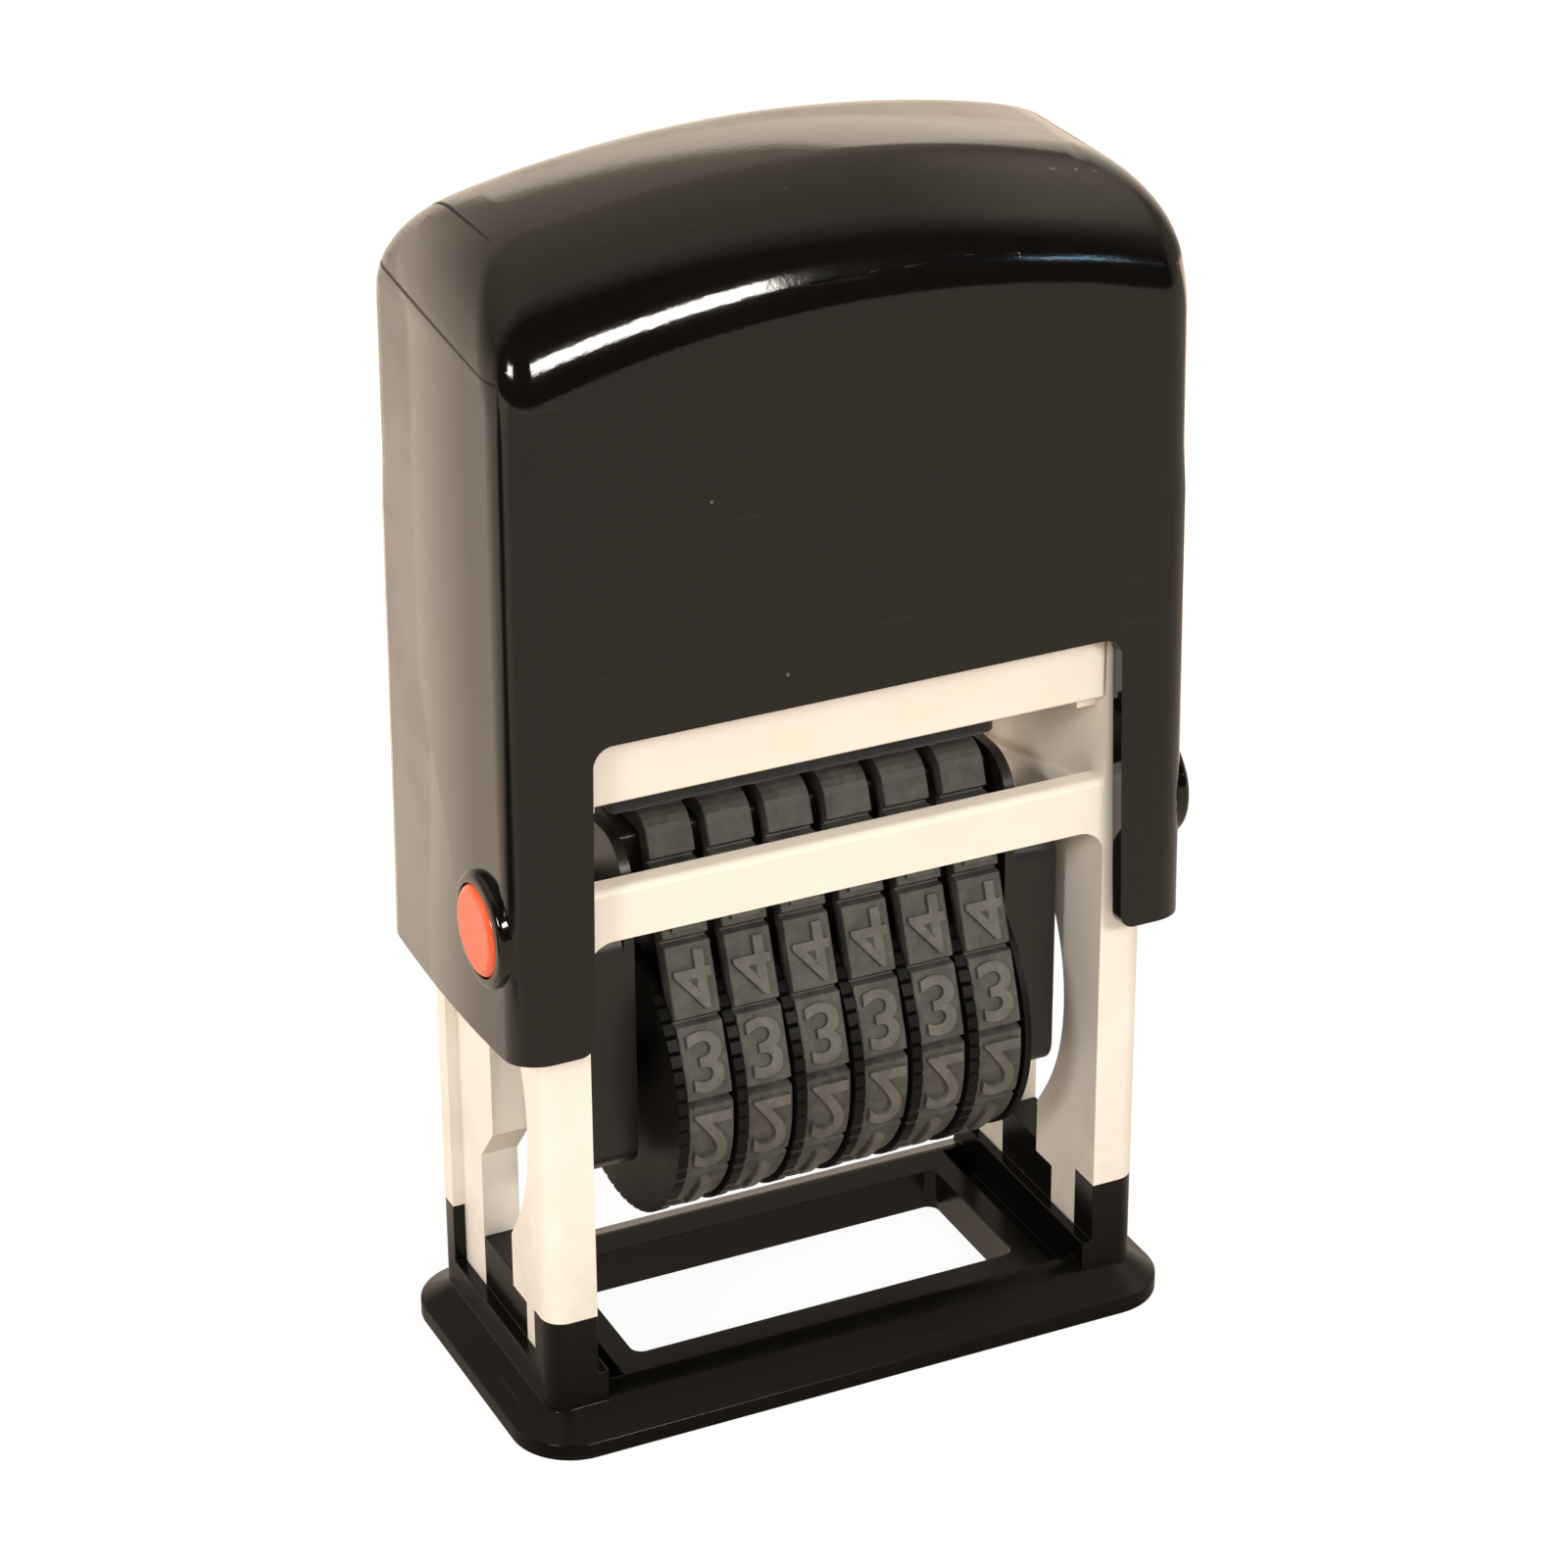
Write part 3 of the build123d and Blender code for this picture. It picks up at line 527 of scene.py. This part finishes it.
def cover_depth_below(points):
    """How far points lie outside the cover's outer form (mm, negative inside)."""
    x, y, z = np.abs(points[:, 0]), np.abs(points[:, 1]), points[:, 2]
    spread = np.maximum(COVER_SHOULDER - z, 0) * COVER_DRAFT
    rise = z - COVER_TOP + CROWN_RADIUS
    crown_reach = np.hypot(x, rise)
    crown = crown_reach - CROWN_RADIUS
    corner_reach = np.maximum(np.hypot(x - CORNER_X, z - COVER_SHOULDER), 1e-9)
    on_crown = np.arctan2(x, rise) < CORNER_LEAN
    on_side = ~on_crown & (z < COVER_SHOULDER)
    below_corner = np.where(on_side, x - COVER_HALF_WIDTH - spread, corner_reach - CORNER_RADIUS)
    profile = np.where(on_crown, crown, below_corner)
    out_x = np.where(on_side, 1.0, (x - CORNER_X) / corner_reach)
    out_z = np.where(on_side, 0.0, (z - COVER_SHOULDER) / corner_reach)
    likeness = np.where(on_crown, 1.0, (out_x * x + out_z * rise) / crown_reach)
    front, crown_share = rounded_meeting(crown, y - COVER_HALF_DEPTH - spread,
                                         np.where(points[:, 1] < 0, FRONT_ROUND, BACK_ROUND))
    inward = np.maximum(CORNER_X + SINK_MARGIN - x, 0) ** 2
    profile = profile - CROWN_SINK * inward * (z > COVER_SHOULDER - SINK_BELOW_SHOULDER) * on_crown
    edge = UPRIGHT_ROUND * np.maximum(1 - likeness * crown_share, 0) ** 0.5
    return rounded_meeting(front, profile, np.maximum(edge, 1e-6))[0]


def cover_slope(points):
    """Outward slope of the cover's outer form at points."""
    step = 0.02
    slope = np.zeros_like(points)
    for axis in range(3):
        shift = np.zeros(3)
        shift[axis] = step
        slope[:, axis] = (cover_depth_below(points + shift) - cover_depth_below(points - shift)) / (2 * step)
    return slope


def cut_dome(shape):
    """Cuts the top of the cover's skin into small faces that can follow the form."""
    cuts = [(2, z) for z in (DOME_START, 61, 64, *np.arange(66, 81, 0.6))]
    cuts += [(1, side * y) for y in np.arange(0.9, 11, 0.55) for side in (-1, 1)]
    cuts += [(0, side * x) for x in (*np.arange(0, 14, 1.5), *np.arange(14.5, 22.7, 0.55))
             for side in ((-1, 1) if x else (1,))]
    for axis, at in cuts:
        plane = Vector((0, 0, 0))
        plane[axis] = 1
        if axis == 2 and at == DOME_START:
            dome = shape.faces[:]
        else:
            dome = [face for face in shape.faces if all(v.co.z > DOME_START - 0.01 for v in face.verts)]
            outer = cover_depth_below(np.array([face.calc_center_median() for face in dome])) > -SKIN_REACH
            dome = [face for face, keep in zip(dome, outer) if keep]
        edges = {edge for face in dome for edge in face.edges}
        verts = {vert for face in dome for vert in face.verts}
        bmesh.ops.bisect_plane(shape, geom=[*verts, *edges, *dome], dist=0.001, plane_co=plane * at, plane_no=plane)


def drawn_to_form(points):
    """The points of the dome's outside, moved onto the cover's outer form."""
    outer = (cover_depth_below(points) > -SKIN_DEPTH) & (points[:, 2] > DOME_START + 0.1)
    moved = points[outer]
    for _ in range(SKIN_STEPS):
        slope = cover_slope(moved)
        moved -= slope * (cover_depth_below(moved) / np.sum(slope * slope, axis=1))[:, None]
    points[outer] = moved
    return points


def shade_by_form(mesh):
    """Gives the outer skin the normals of the cover's form, so that gloss runs over it without facets."""
    normals = np.array([corner.vector for corner in mesh.corner_normals])
    corner_vertex = np.array([loop.vertex_index for loop in mesh.loops])
    corner_face = np.repeat(np.arange(len(mesh.polygons)), [face.loop_total for face in mesh.polygons])
    flat = np.array([face.normal for face in mesh.polygons])[corner_face]
    spots = np.array([v.co for v in mesh.vertices])[corner_vertex] / MM
    slopes = cover_slope(spots)
    slopes /= np.linalg.norm(slopes, axis=1, keepdims=True)
    skin = (np.abs(cover_depth_below(spots)) < SKIN_FOUND) & (np.sum(slopes * flat, axis=1) > 0.85)
    normals[skin] = slopes[skin]
    mesh.normals_split_custom_set(normals.tolist())


def cover_skin():
    """The cover with its crown, corners and front edge blended smoothly into each other."""
    node = nodes["cover_shell"]
    shape = bmesh.new()
    shape.from_mesh(node.data)
    bmesh.ops.transform(shape, matrix=Matrix.Scale(1 / MM, 4) @ node.matrix_world, verts=shape.verts)
    bmesh.ops.remove_doubles(shape, verts=shape.verts, dist=0.002)
    bmesh.ops.dissolve_limit(shape, angle_limit=math.radians(0.05), verts=shape.verts, edges=shape.edges)
    cut_dome(shape)
    for vertex, point in zip(shape.verts, drawn_to_form(np.array([v.co for v in shape.verts]))):
        vertex.co = Vector(point) * MM
    data = bare_copy(shape, "cover_skin")
    data.shade_smooth()
    data.set_sharp_from_angle(angle=math.radians(28))
    shade_by_form(data)
    piece = object_of("cover_skin", data, COVER)
    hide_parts("cover_shell")
    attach(piece, "cover")


cover_skin()
soft_edged("foot_ring", "frame", 0.22, FOOT)
soft_edged("inner_frame", "frame", 0.16, WHITE)
soft_edged("ink_tray", "frame", 0.2, WHITE)
soft_edged("cheek_left", "carriage", 0.25, CARRIAGE)
soft_edged("cheek_right", "carriage", 0.25, CARRIAGE)


# ---------------------------------------------------------------- number bands

# in mm
BANDS = 6
PITCH = 4.05                       # from one wheel to the next
WHEEL_RIM = 0.7
SIDE_GAP = 0.1
BAND_WIDTH = 3.1
BAND_THICKNESS = 0.8
TYPE_HEIGHT = 0.6
TYPE_PLACES = 14
TYPE_GAP = 0.55                    # groove between two blocks
HEAD_HALF_FLAT = 2.0               # the print head that the bands run over
HEAD_ROUND = 0.4
HEAD_CENTRE = 39.8 - TYPE_HEIGHT - BAND_THICKNESS - HEAD_ROUND
SHAFT_HEIGHT = 21.0
HUB_LINE = 8.05                    # radius of the band's back on the hub
DIGIT_RELIEF = 0.33
DIGIT_ROOT = 0.15                  # how deep a digit reaches into its block
DIGIT_SIZE = 5.0
DIGIT_HEIGHT = 3.8
DIGIT_WIDTH = 2.5
DIGIT_FATTER = 0.07
DIGIT_STRIP = 0.45                 # height of the strips that let a digit bend
SOFT_EDGE = 0.09
# type on the band, from the middle of the print head down the front and round; empty places are blank blocks
TYPE_ORDER = ["", "5", "4", "3", "2", "1", "0", "9", "8", "7", "6", "", "", ""]


class BandLine:
    """The line of a band round the print head and the hub, measured along the band's back."""

    def __init__(self):
        self.head_radius = HEAD_ROUND + BAND_THICKNESS
        self.hub_radius = HUB_LINE + BAND_THICKNESS
        rise = HEAD_CENTRE - SHAFT_HEIGHT
        reach = math.hypot(HEAD_HALF_FLAT, rise)
        self.lean = math.atan2(rise, HEAD_HALF_FLAT) - math.acos((self.hub_radius - self.head_radius) / reach)
        self.straight = math.sqrt(reach ** 2 - (self.hub_radius - self.head_radius) ** 2)
        corner = (math.pi / 2 - self.lean) * self.head_radius
        hub = (math.pi + 2 * self.lean) * self.hub_radius
        self.stretches = [HEAD_HALF_FLAT, corner, self.straight, hub, self.straight, corner, HEAD_HALF_FLAT]
        self.length = sum(self.stretches)

    def at(self, along):
        """(y, z, outward y, outward z) at a length along the back, from the middle of the head, front first."""
        along %= self.length
        for number, stretch in enumerate(self.stretches):
            if along <= stretch:
                break
            along -= stretch
        top = HEAD_CENTRE + self.head_radius
        if number in (0, 6):
            y = -along if number == 0 else HEAD_HALF_FLAT - along
            return y, top, 0.0, 1.0
        if number in (1, 5):
            turned = along / self.head_radius
            angle = math.pi / 2 - turned if number == 1 else self.lean + turned
            side = -1 if number == 1 else 1
            out = (side * math.cos(angle), math.sin(angle))
            return (side * HEAD_HALF_FLAT + self.head_radius * out[0], HEAD_CENTRE + self.head_radius * out[1],
                    *out)
        if number in (2, 4):
            side = -1 if number == 2 else 1
            out = (side * math.cos(self.lean), math.sin(self.lean))
            head = (side * HEAD_HALF_FLAT + self.head_radius * out[0], HEAD_CENTRE + self.head_radius * out[1])
            hub = (self.hub_radius * out[0], SHAFT_HEIGHT + self.hub_radius * out[1])
            share = along / self.straight
            if number == 4:
                share = 1 - share
            return (head[0] + (hub[0] - head[0]) * share, head[1] + (hub[1] - head[1]) * share, *out)
        angle = math.pi - self.lean + along / self.hub_radius
        out = (math.cos(angle), math.sin(angle))
        return self.hub_radius * out[0], SHAFT_HEIGHT + self.hub_radius * out[1], *out

    def point(self, x, along, out):
        y, z, out_y, out_z = self.at(along)
        return Vector((x, y + out * out_y, z + out * out_z)) * MM


LINE = BandLine()


def digit_mesh(mesh, text, left, place):
    """Adds one raised digit, upside down and mirrored as type is, bent onto its block."""
    curve = bpy.data.curves.new("digit", "FONT")
    curve.body = text
    curve.size = DIGIT_SIZE
    curve.align_x = "CENTER"
    curve.align_y = "CENTER"
    curve.extrude = DIGIT_RELIEF
    curve.offset = DIGIT_FATTER
    curve.resolution_u = 4
    letter = bpy.data.objects.new("digit", curve)
    bpy.context.collection.objects.link(letter)
    bpy.context.view_layer.update()
    flat = bpy.data.meshes.new_from_object(letter.evaluated_get(bpy.context.evaluated_depsgraph_get()))
    bpy.data.objects.remove(letter)
    shape = bmesh.new()
    shape.from_mesh(flat)
    bpy.data.meshes.remove(flat)
    heights = [v.co.y for v in shape.verts]
    widths = [v.co.x for v in shape.verts]
    middle = (min(heights) + max(heights)) / 2
    tall = DIGIT_HEIGHT / (max(heights) - min(heights))
    wide = min(DIGIT_WIDTH / (max(widths) - min(widths)), 1.1 * tall)
    for cut in np.arange(min(heights) + 0.4, max(heights), DIGIT_STRIP):
        everything = shape.verts[:] + shape.edges[:] + shape.faces[:]
        bmesh.ops.bisect_plane(shape, geom=everything, plane_co=(0, cut, 0), plane_no=(0, 1, 0))
    centre = left + BAND_WIDTH / 2
    start = (place + 0.5) * LINE.length / TYPE_PLACES
    face = shape.verts.layers.float.new("type_face")
    for vertex in shape.verts:
        x, y, z = vertex.co
        vertex[face] = float(z > 0)
        out = TYPE_HEIGHT + (DIGIT_RELIEF if z > 0 else -DIGIT_ROOT)
        vertex.co = LINE.point(centre + x * wide, start + (y - middle) * tall, out)
    bmesh.ops.recalc_face_normals(shape, faces=shape.faces[:])
    part = finished(shape, "digit")
    mesh.from_mesh(part)
    bpy.data.meshes.remove(part)


def number_band(number, left):
    """One endless band: a soft-edged belt with type blocks and raised digits, from its left edge (mm) on."""
    pitch = LINE.length / TYPE_PLACES
    shoulder = TYPE_GAP / 2
    offsets = [-shoulder, -shoulder * 0.2, shoulder * 0.2, shoulder]
    offsets += list(np.linspace(shoulder + SOFT_EDGE, pitch - shoulder - SOFT_EDGE, 14))
    steps = [place * pitch + offset for place in range(TYPE_PLACES) for offset in offsets]
    mesh = bmesh.new()
    mesh.verts.layers.float.new("type_face")
    rows = []
    half = BAND_WIDTH / 2
    centre = left + half
    for along in steps:
        near = abs((along / pitch + 0.5) % 1 - 0.5) * pitch
        raised = 0.0 if near < TYPE_GAP / 2 - 0.001 else TYPE_HEIGHT
        low = -BAND_THICKNESS
        section = [(-half + SOFT_EDGE, low), (-half, low + SOFT_EDGE), (-half, raised - SOFT_EDGE),
                   (-half + 0.35 * SOFT_EDGE, raised - 0.35 * SOFT_EDGE), (-half + SOFT_EDGE, raised),
                   (half - SOFT_EDGE, raised), (half - 0.35 * SOFT_EDGE, raised - 0.35 * SOFT_EDGE),
                   (half, raised - SOFT_EDGE), (half, low + SOFT_EDGE), (half - SOFT_EDGE, low)]
        rows.append([mesh.verts.new(LINE.point(centre + x, along, out)) for x, out in section])
    for row, following in zip(rows, rows[1:] + rows[:1]):
        for k in range(len(row)):
            after = (k + 1) % len(row)
            mesh.faces.new((row[k], row[after], following[after], following[k]))
    bmesh.ops.recalc_face_normals(mesh, faces=mesh.faces[:])
    for place, text in enumerate(TYPE_ORDER):
        if text:
            digit_mesh(mesh, text, left, place)
    name = f"digit_band_{number}"
    band = object_of(name, finished(mesh, name), RUBBER)
    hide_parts(f"number_band_{number}")
    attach(band, "carriage")


for number in range(1, BANDS + 1):
    number_band(number, (number - BANDS // 2 - 1) * PITCH + SIDE_GAP / 2 + WHEEL_RIM + SIDE_GAP)


# ---------------------------------------------------------------- ink pad

FELT_STEP = 0.28                   # mm between the points of its faces
FELT_ROUGHNESS = 0.05              # mm
FELT_EDGE_PULL = 0.09              # mm that the edges draw in
FELT_WAVE = 2600                   # unevenness, waves per metre


def felt_block():
    """The ink pad as a block of matted felt, its sides and face a little uneven."""
    low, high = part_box("ink_pad")
    middle = (low + high) / 2
    half = (high - low) / 2 - Vector((1, 1, 1)) * FELT_ROUGHNESS * MM
    counts = [max(2, round(2 * edge / (FELT_STEP * MM))) for edge in half]
    mesh = bmesh.new()
    bmesh.ops.create_cube(mesh, size=2.0)
    for axis in range(3):
        plane = Vector((0, 0, 0))
        plane[axis] = 1
        for cut in range(1, counts[axis]):
            at = plane * (2 * cut / counts[axis] - 1)
            everything = mesh.verts[:] + mesh.edges[:] + mesh.faces[:]
            bmesh.ops.bisect_plane(mesh, geom=everything, plane_co=at, plane_no=plane)
    for vertex in mesh.verts:
        spot = Vector([vertex.co[k] * half[k] for k in range(3)])
        out = Vector([round(c) if abs(abs(c) - 1) < 1e-4 else 0 for c in vertex.co])
        pull = (sum(map(abs, out)) - 1) * FELT_EDGE_PULL * MM
        wave = noise.noise(spot * FELT_WAVE) * FELT_ROUGHNESS * MM
        vertex.co = middle + spot + out * (wave - pull)
    data = finished(mesh, "felt_block")
    data.shade_smooth()
    block = object_of("felt_block", data, FELT)
    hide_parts("ink_pad")
    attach(block, "frame")


felt_block()


# ---------------------------------------------------------------- return spring

# in mm
WIRE_RADIUS = 0.35
SPRING_TURNS = 7
CLOSED_PITCH = 0.74                # of the first and the last turn
RING_POINTS = 10
STEPS_PER_TURN = 40


def coil_spring():
    """The return spring as round wire with a closed coil at each end."""
    low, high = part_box("return_spring")
    centre = (low + high) / 2
    radius = (high.x - low.x) / 2 / MM - WIRE_RADIUS
    bottom, top = low.z / MM + WIRE_RADIUS, high.z / MM - WIRE_RADIUS
    open_pitch = (top - bottom - 2 * CLOSED_PITCH) / (SPRING_TURNS - 2)
    steps = SPRING_TURNS * STEPS_PER_TURN
    mesh = bmesh.new()
    rings = []
    for step in range(steps + 1):
        turned = SPRING_TURNS * step / steps
        rise = CLOSED_PITCH * (min(turned, 1) + max(turned - SPRING_TURNS + 1, 0))
        rise += open_pitch * min(max(turned - 1, 0), SPRING_TURNS - 2)
        angle = 2 * math.pi * turned
        out = Vector((math.cos(angle), math.sin(angle), 0))
        middle = out * radius + Vector((centre.x / MM, centre.y / MM, bottom + rise))
        ring = []
        for turn in np.linspace(0, 2 * math.pi, RING_POINTS, endpoint=False):
            around = out * math.cos(turn) + Vector((0, 0, 1)) * math.sin(turn)
            ring.append(mesh.verts.new((middle + around * WIRE_RADIUS) * MM))
        rings.append(ring)
    for ring, following in zip(rings, rings[1:]):
        for k in range(RING_POINTS):
            after = (k + 1) % RING_POINTS
            mesh.faces.new((ring[k], ring[after], following[after], following[k]))
    mesh.faces.new(rings[0][::-1])
    mesh.faces.new(rings[-1])
    bmesh.ops.recalc_face_normals(mesh, faces=mesh.faces[:])
    data = finished(mesh, "coil_spring")
    data.shade_smooth()
    data.set_sharp_from_angle(angle=math.radians(50))
    spring = object_of("coil_spring", data, SPRING)
    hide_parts("return_spring")
    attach(spring, "frame")
    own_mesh(spring)


coil_spring()


# ---------------------------------------------------------------- stage and light

FLOOR_GLOW = (1.0, 0.82, 0.66, 1)
FLOOR_FRONT = 0.72                 # strength of the floor's light in front of the stamp
FLOOR_BACK = 1.25                  # and behind it
FLOOR_BEHIND = 2.2                 # extra in the patch close behind it
FOOT_HALF_WIDTH = 23.0 * MM
FOOT_HALF_DEPTH = 11.6 * MM


def floor_strength(s):
    """How brightly each place of the floor glows for the stamp, as painted light: dim in front and beside it,
    bright behind, with a painted shadow round the foot and a painted dark patch to its left.
    """
    place = s.axes(s.place())
    # painted light: the floor's glow, brighter behind the stamp
    back = s.band(s.math("SUBTRACT", place["Y"], s.math("MULTIPLY", place["X"], 0.5)), 0.0, 0.09)
    strength = s.band(back, 0.0, 1.0, FLOOR_FRONT, FLOOR_BACK)
    deep = s.math("MULTIPLY", s.band(place["Y"], 0.04, 0.08), s.band(place["Y"], 0.15, 0.22, 1.0, 0.0))
    behind = s.math("MULTIPLY", s.band(place["X"], -0.024, 0.004), deep)
    strength = s.math("ADD", strength, s.math("MULTIPLY", behind, FLOOR_BEHIND))
    # painted contact shadow: the glow is dimmed round the foot
    outside = s.math("MAXIMUM", s.math("SUBTRACT", s.math("ABSOLUTE", place["X"]), FOOT_HALF_WIDTH),
                     s.math("SUBTRACT", s.math("ABSOLUTE", place["Y"]), FOOT_HALF_DEPTH))
    clear = s.math("MAXIMUM", s.band(outside, 0.0, 0.010, 0.4, 1.0), s.band(outside, -0.004, -0.002, 1.0, 0.0))
    # painted shade: a dark patch left of the stamp, which the cover's left upright edge reflects as a dark line
    shaded = s.math("MULTIPLY", s.band(place["Y"], -0.025, -0.005), s.band(place["Y"], 0.02, 0.045, 0.95, 0.0))
    shaded = s.math("MULTIPLY", s.band(place["X"], -0.095, -0.08, 1.0, 0.0), shaded)
    return s.math("MULTIPLY", strength, s.math("MULTIPLY", clear, s.math("SUBTRACT", 1.0, shaded)))


def build_stage():
    """White paper floor as the camera sees it. To everything else it glows as painted light, more strongly towards
    the back.
    """
    mesh = bpy.data.meshes.new("floor")
    mesh.from_pydata([(-6, -6, 0), (6, -6, 0), (6, 6, 0), (-6, 6, 0)], [], [(0, 1, 2, 3)])
    floor = bpy.data.objects.new("floor", mesh)
    bpy.context.collection.objects.link(floor)
    material = bpy.data.materials.new("floor paper")
    material.use_nodes = True
    material.node_tree.nodes.clear()
    s = Shader(material.node_tree)
    # painted light: the floor's glow, seen by all rays but the camera's
    painted_glow = s.add("ShaderNodeEmission", Color=FLOOR_GLOW)
    s.feed(painted_glow.inputs["Strength"], floor_strength(s))
    paper = s.add("ShaderNodeBsdfDiffuse", Color=(0.82, 0.80, 0.77, 1))
    white = s.add("ShaderNodeEmission", Color=(1, 1, 1, 1), Strength=1.06)
    seen = s.add("ShaderNodeLightPath").outputs["Is Camera Ray"]
    faint = s.mix(0.86, paper.outputs[0], white.outputs[0])
    s.feed(s.add("ShaderNodeOutputMaterial").inputs["Surface"], s.mix(seen, painted_glow.outputs[0], faint))
    mesh.materials.append(material)


FRONT_DARK = (0.02, 0.02, 0.023, 1)
CEILING_LOW = (0.44, 0.37, 0.28, 1)
CEILING_HIGH = (0.72, 0.60, 0.48, 1)
CEILING_RIGHT = (1.25, 1.06, 0.87, 1)
BACK_GLOW = (1.4, 1.2, 0.98, 1)
LEFT_GLOW = (1.25, 1.03, 0.83, 1)


def build_world():
    """The studio round the stamp: dim in front and overhead, bright low down behind."""
    world = bpy.data.worlds.new("studio")
    bpy.context.scene.world = world
    world.use_nodes = True
    world.node_tree.nodes.clear()
    s = Shader(world.node_tree)
    way = s.axes(s.add("ShaderNodeTexCoord").outputs["Generated"])
    ceiling = s.blend(s.band(way["Z"], 0.5, 0.9), CEILING_LOW, CEILING_HIGH)
    right = s.math("MULTIPLY", s.band(way["X"], 0.48, 0.64), s.band(way["Z"], 0.5, 0.7))
    ceiling = s.blend(right, ceiling, CEILING_RIGHT)
    overhead = s.band(s.math("ADD", way["Y"], s.math("MULTIPLY", way["X"], 0.35)), -0.45, -0.15)
    room = s.blend(overhead, FRONT_DARK, ceiling)
    climb = s.math("MULTIPLY", s.math("MAXIMUM", s.math("SUBTRACT", way["X"], 0.4), 0.0), 1.2)
    under = s.band(s.math("SUBTRACT", way["Z"], s.math("ADD", 0.175, climb)), -0.03, 0.03, 1.0, 0.0)
    low = s.math("MULTIPLY", s.math("MULTIPLY", under, s.band(way["Y"], 0.2, 0.7)), s.band(way["X"], 0.08, 0.22))
    glow = s.blend(low, room, BACK_GLOW)
    aside = s.math("MULTIPLY", s.band(way["X"], -0.1, 0.2, 1.0, 0.0), overhead)
    glow = s.blend(s.math("MULTIPLY", aside, s.band(way["Z"], 0.0, 0.45, 1.0, 0.0)), glow, LEFT_GLOW)
    seen = s.add("ShaderNodeLightPath").outputs["Is Camera Ray"]
    sky = s.add("ShaderNodeBackground", Color=s.blend(seen, glow, (1, 1, 1, 1)), Strength=1.0)
    s.feed(s.add("ShaderNodeOutputWorld").inputs["Surface"], sky.outputs[0])


LAMP_AIM = Vector((0, 0, 60)) * MM
FILL_COLOUR = (1.0, 0.94, 0.86)


def soft_lamp(name, turn, rise, distance, width, height, radiance, colour, in_gloss=True):
    """A soft box aimed at the stamp; turn is measured to the right of the front, rise above the floor."""
    turn, rise = math.radians(turn), math.radians(rise)
    way = Vector((math.sin(turn) * math.cos(rise), -math.cos(turn) * math.cos(rise), math.sin(rise)))
    data = bpy.data.lights.new(name, "AREA")
    data.shape = "RECTANGLE"
    data.size = width
    data.size_y = height
    data.energy = radiance * math.pi * width * height
    data.color = colour
    lamp = bpy.data.objects.new(name, data)
    bpy.context.collection.objects.link(lamp)
    lamp.location = LAMP_AIM + way * distance
    lamp.rotation_euler = way.to_track_quat("Z", "Y").to_euler()
    lamp.visible_glossy = in_gloss


build_stage()
build_world()
soft_lamp("strip lamp", 13.0, 27, 0.8, 0.22, 0.12, 34, (1.0, 0.95, 0.87))
soft_lamp("left lamp", -55, 24, 0.8, 0.16, 0.14, 26, (1.0, 0.97, 0.92))
soft_lamp("blue window", 37.5, 17, 1.2, 0.10, 0.05, 8, (0.45, 0.74, 1.0))
soft_lamp("front fill", -15, 30, 1.2, 0.9, 0.7, 2.05, FILL_COLOUR, False)
soft_lamp("top fill", 30, 75, 1.2, 0.8, 0.8, 1.6, FILL_COLOUR, False)
soft_lamp("left fill", -105, 22, 1.2, 0.6, 0.6, 4.2, FILL_COLOUR, False)

bpy.context.scene.view_settings.view_transform = "Standard"
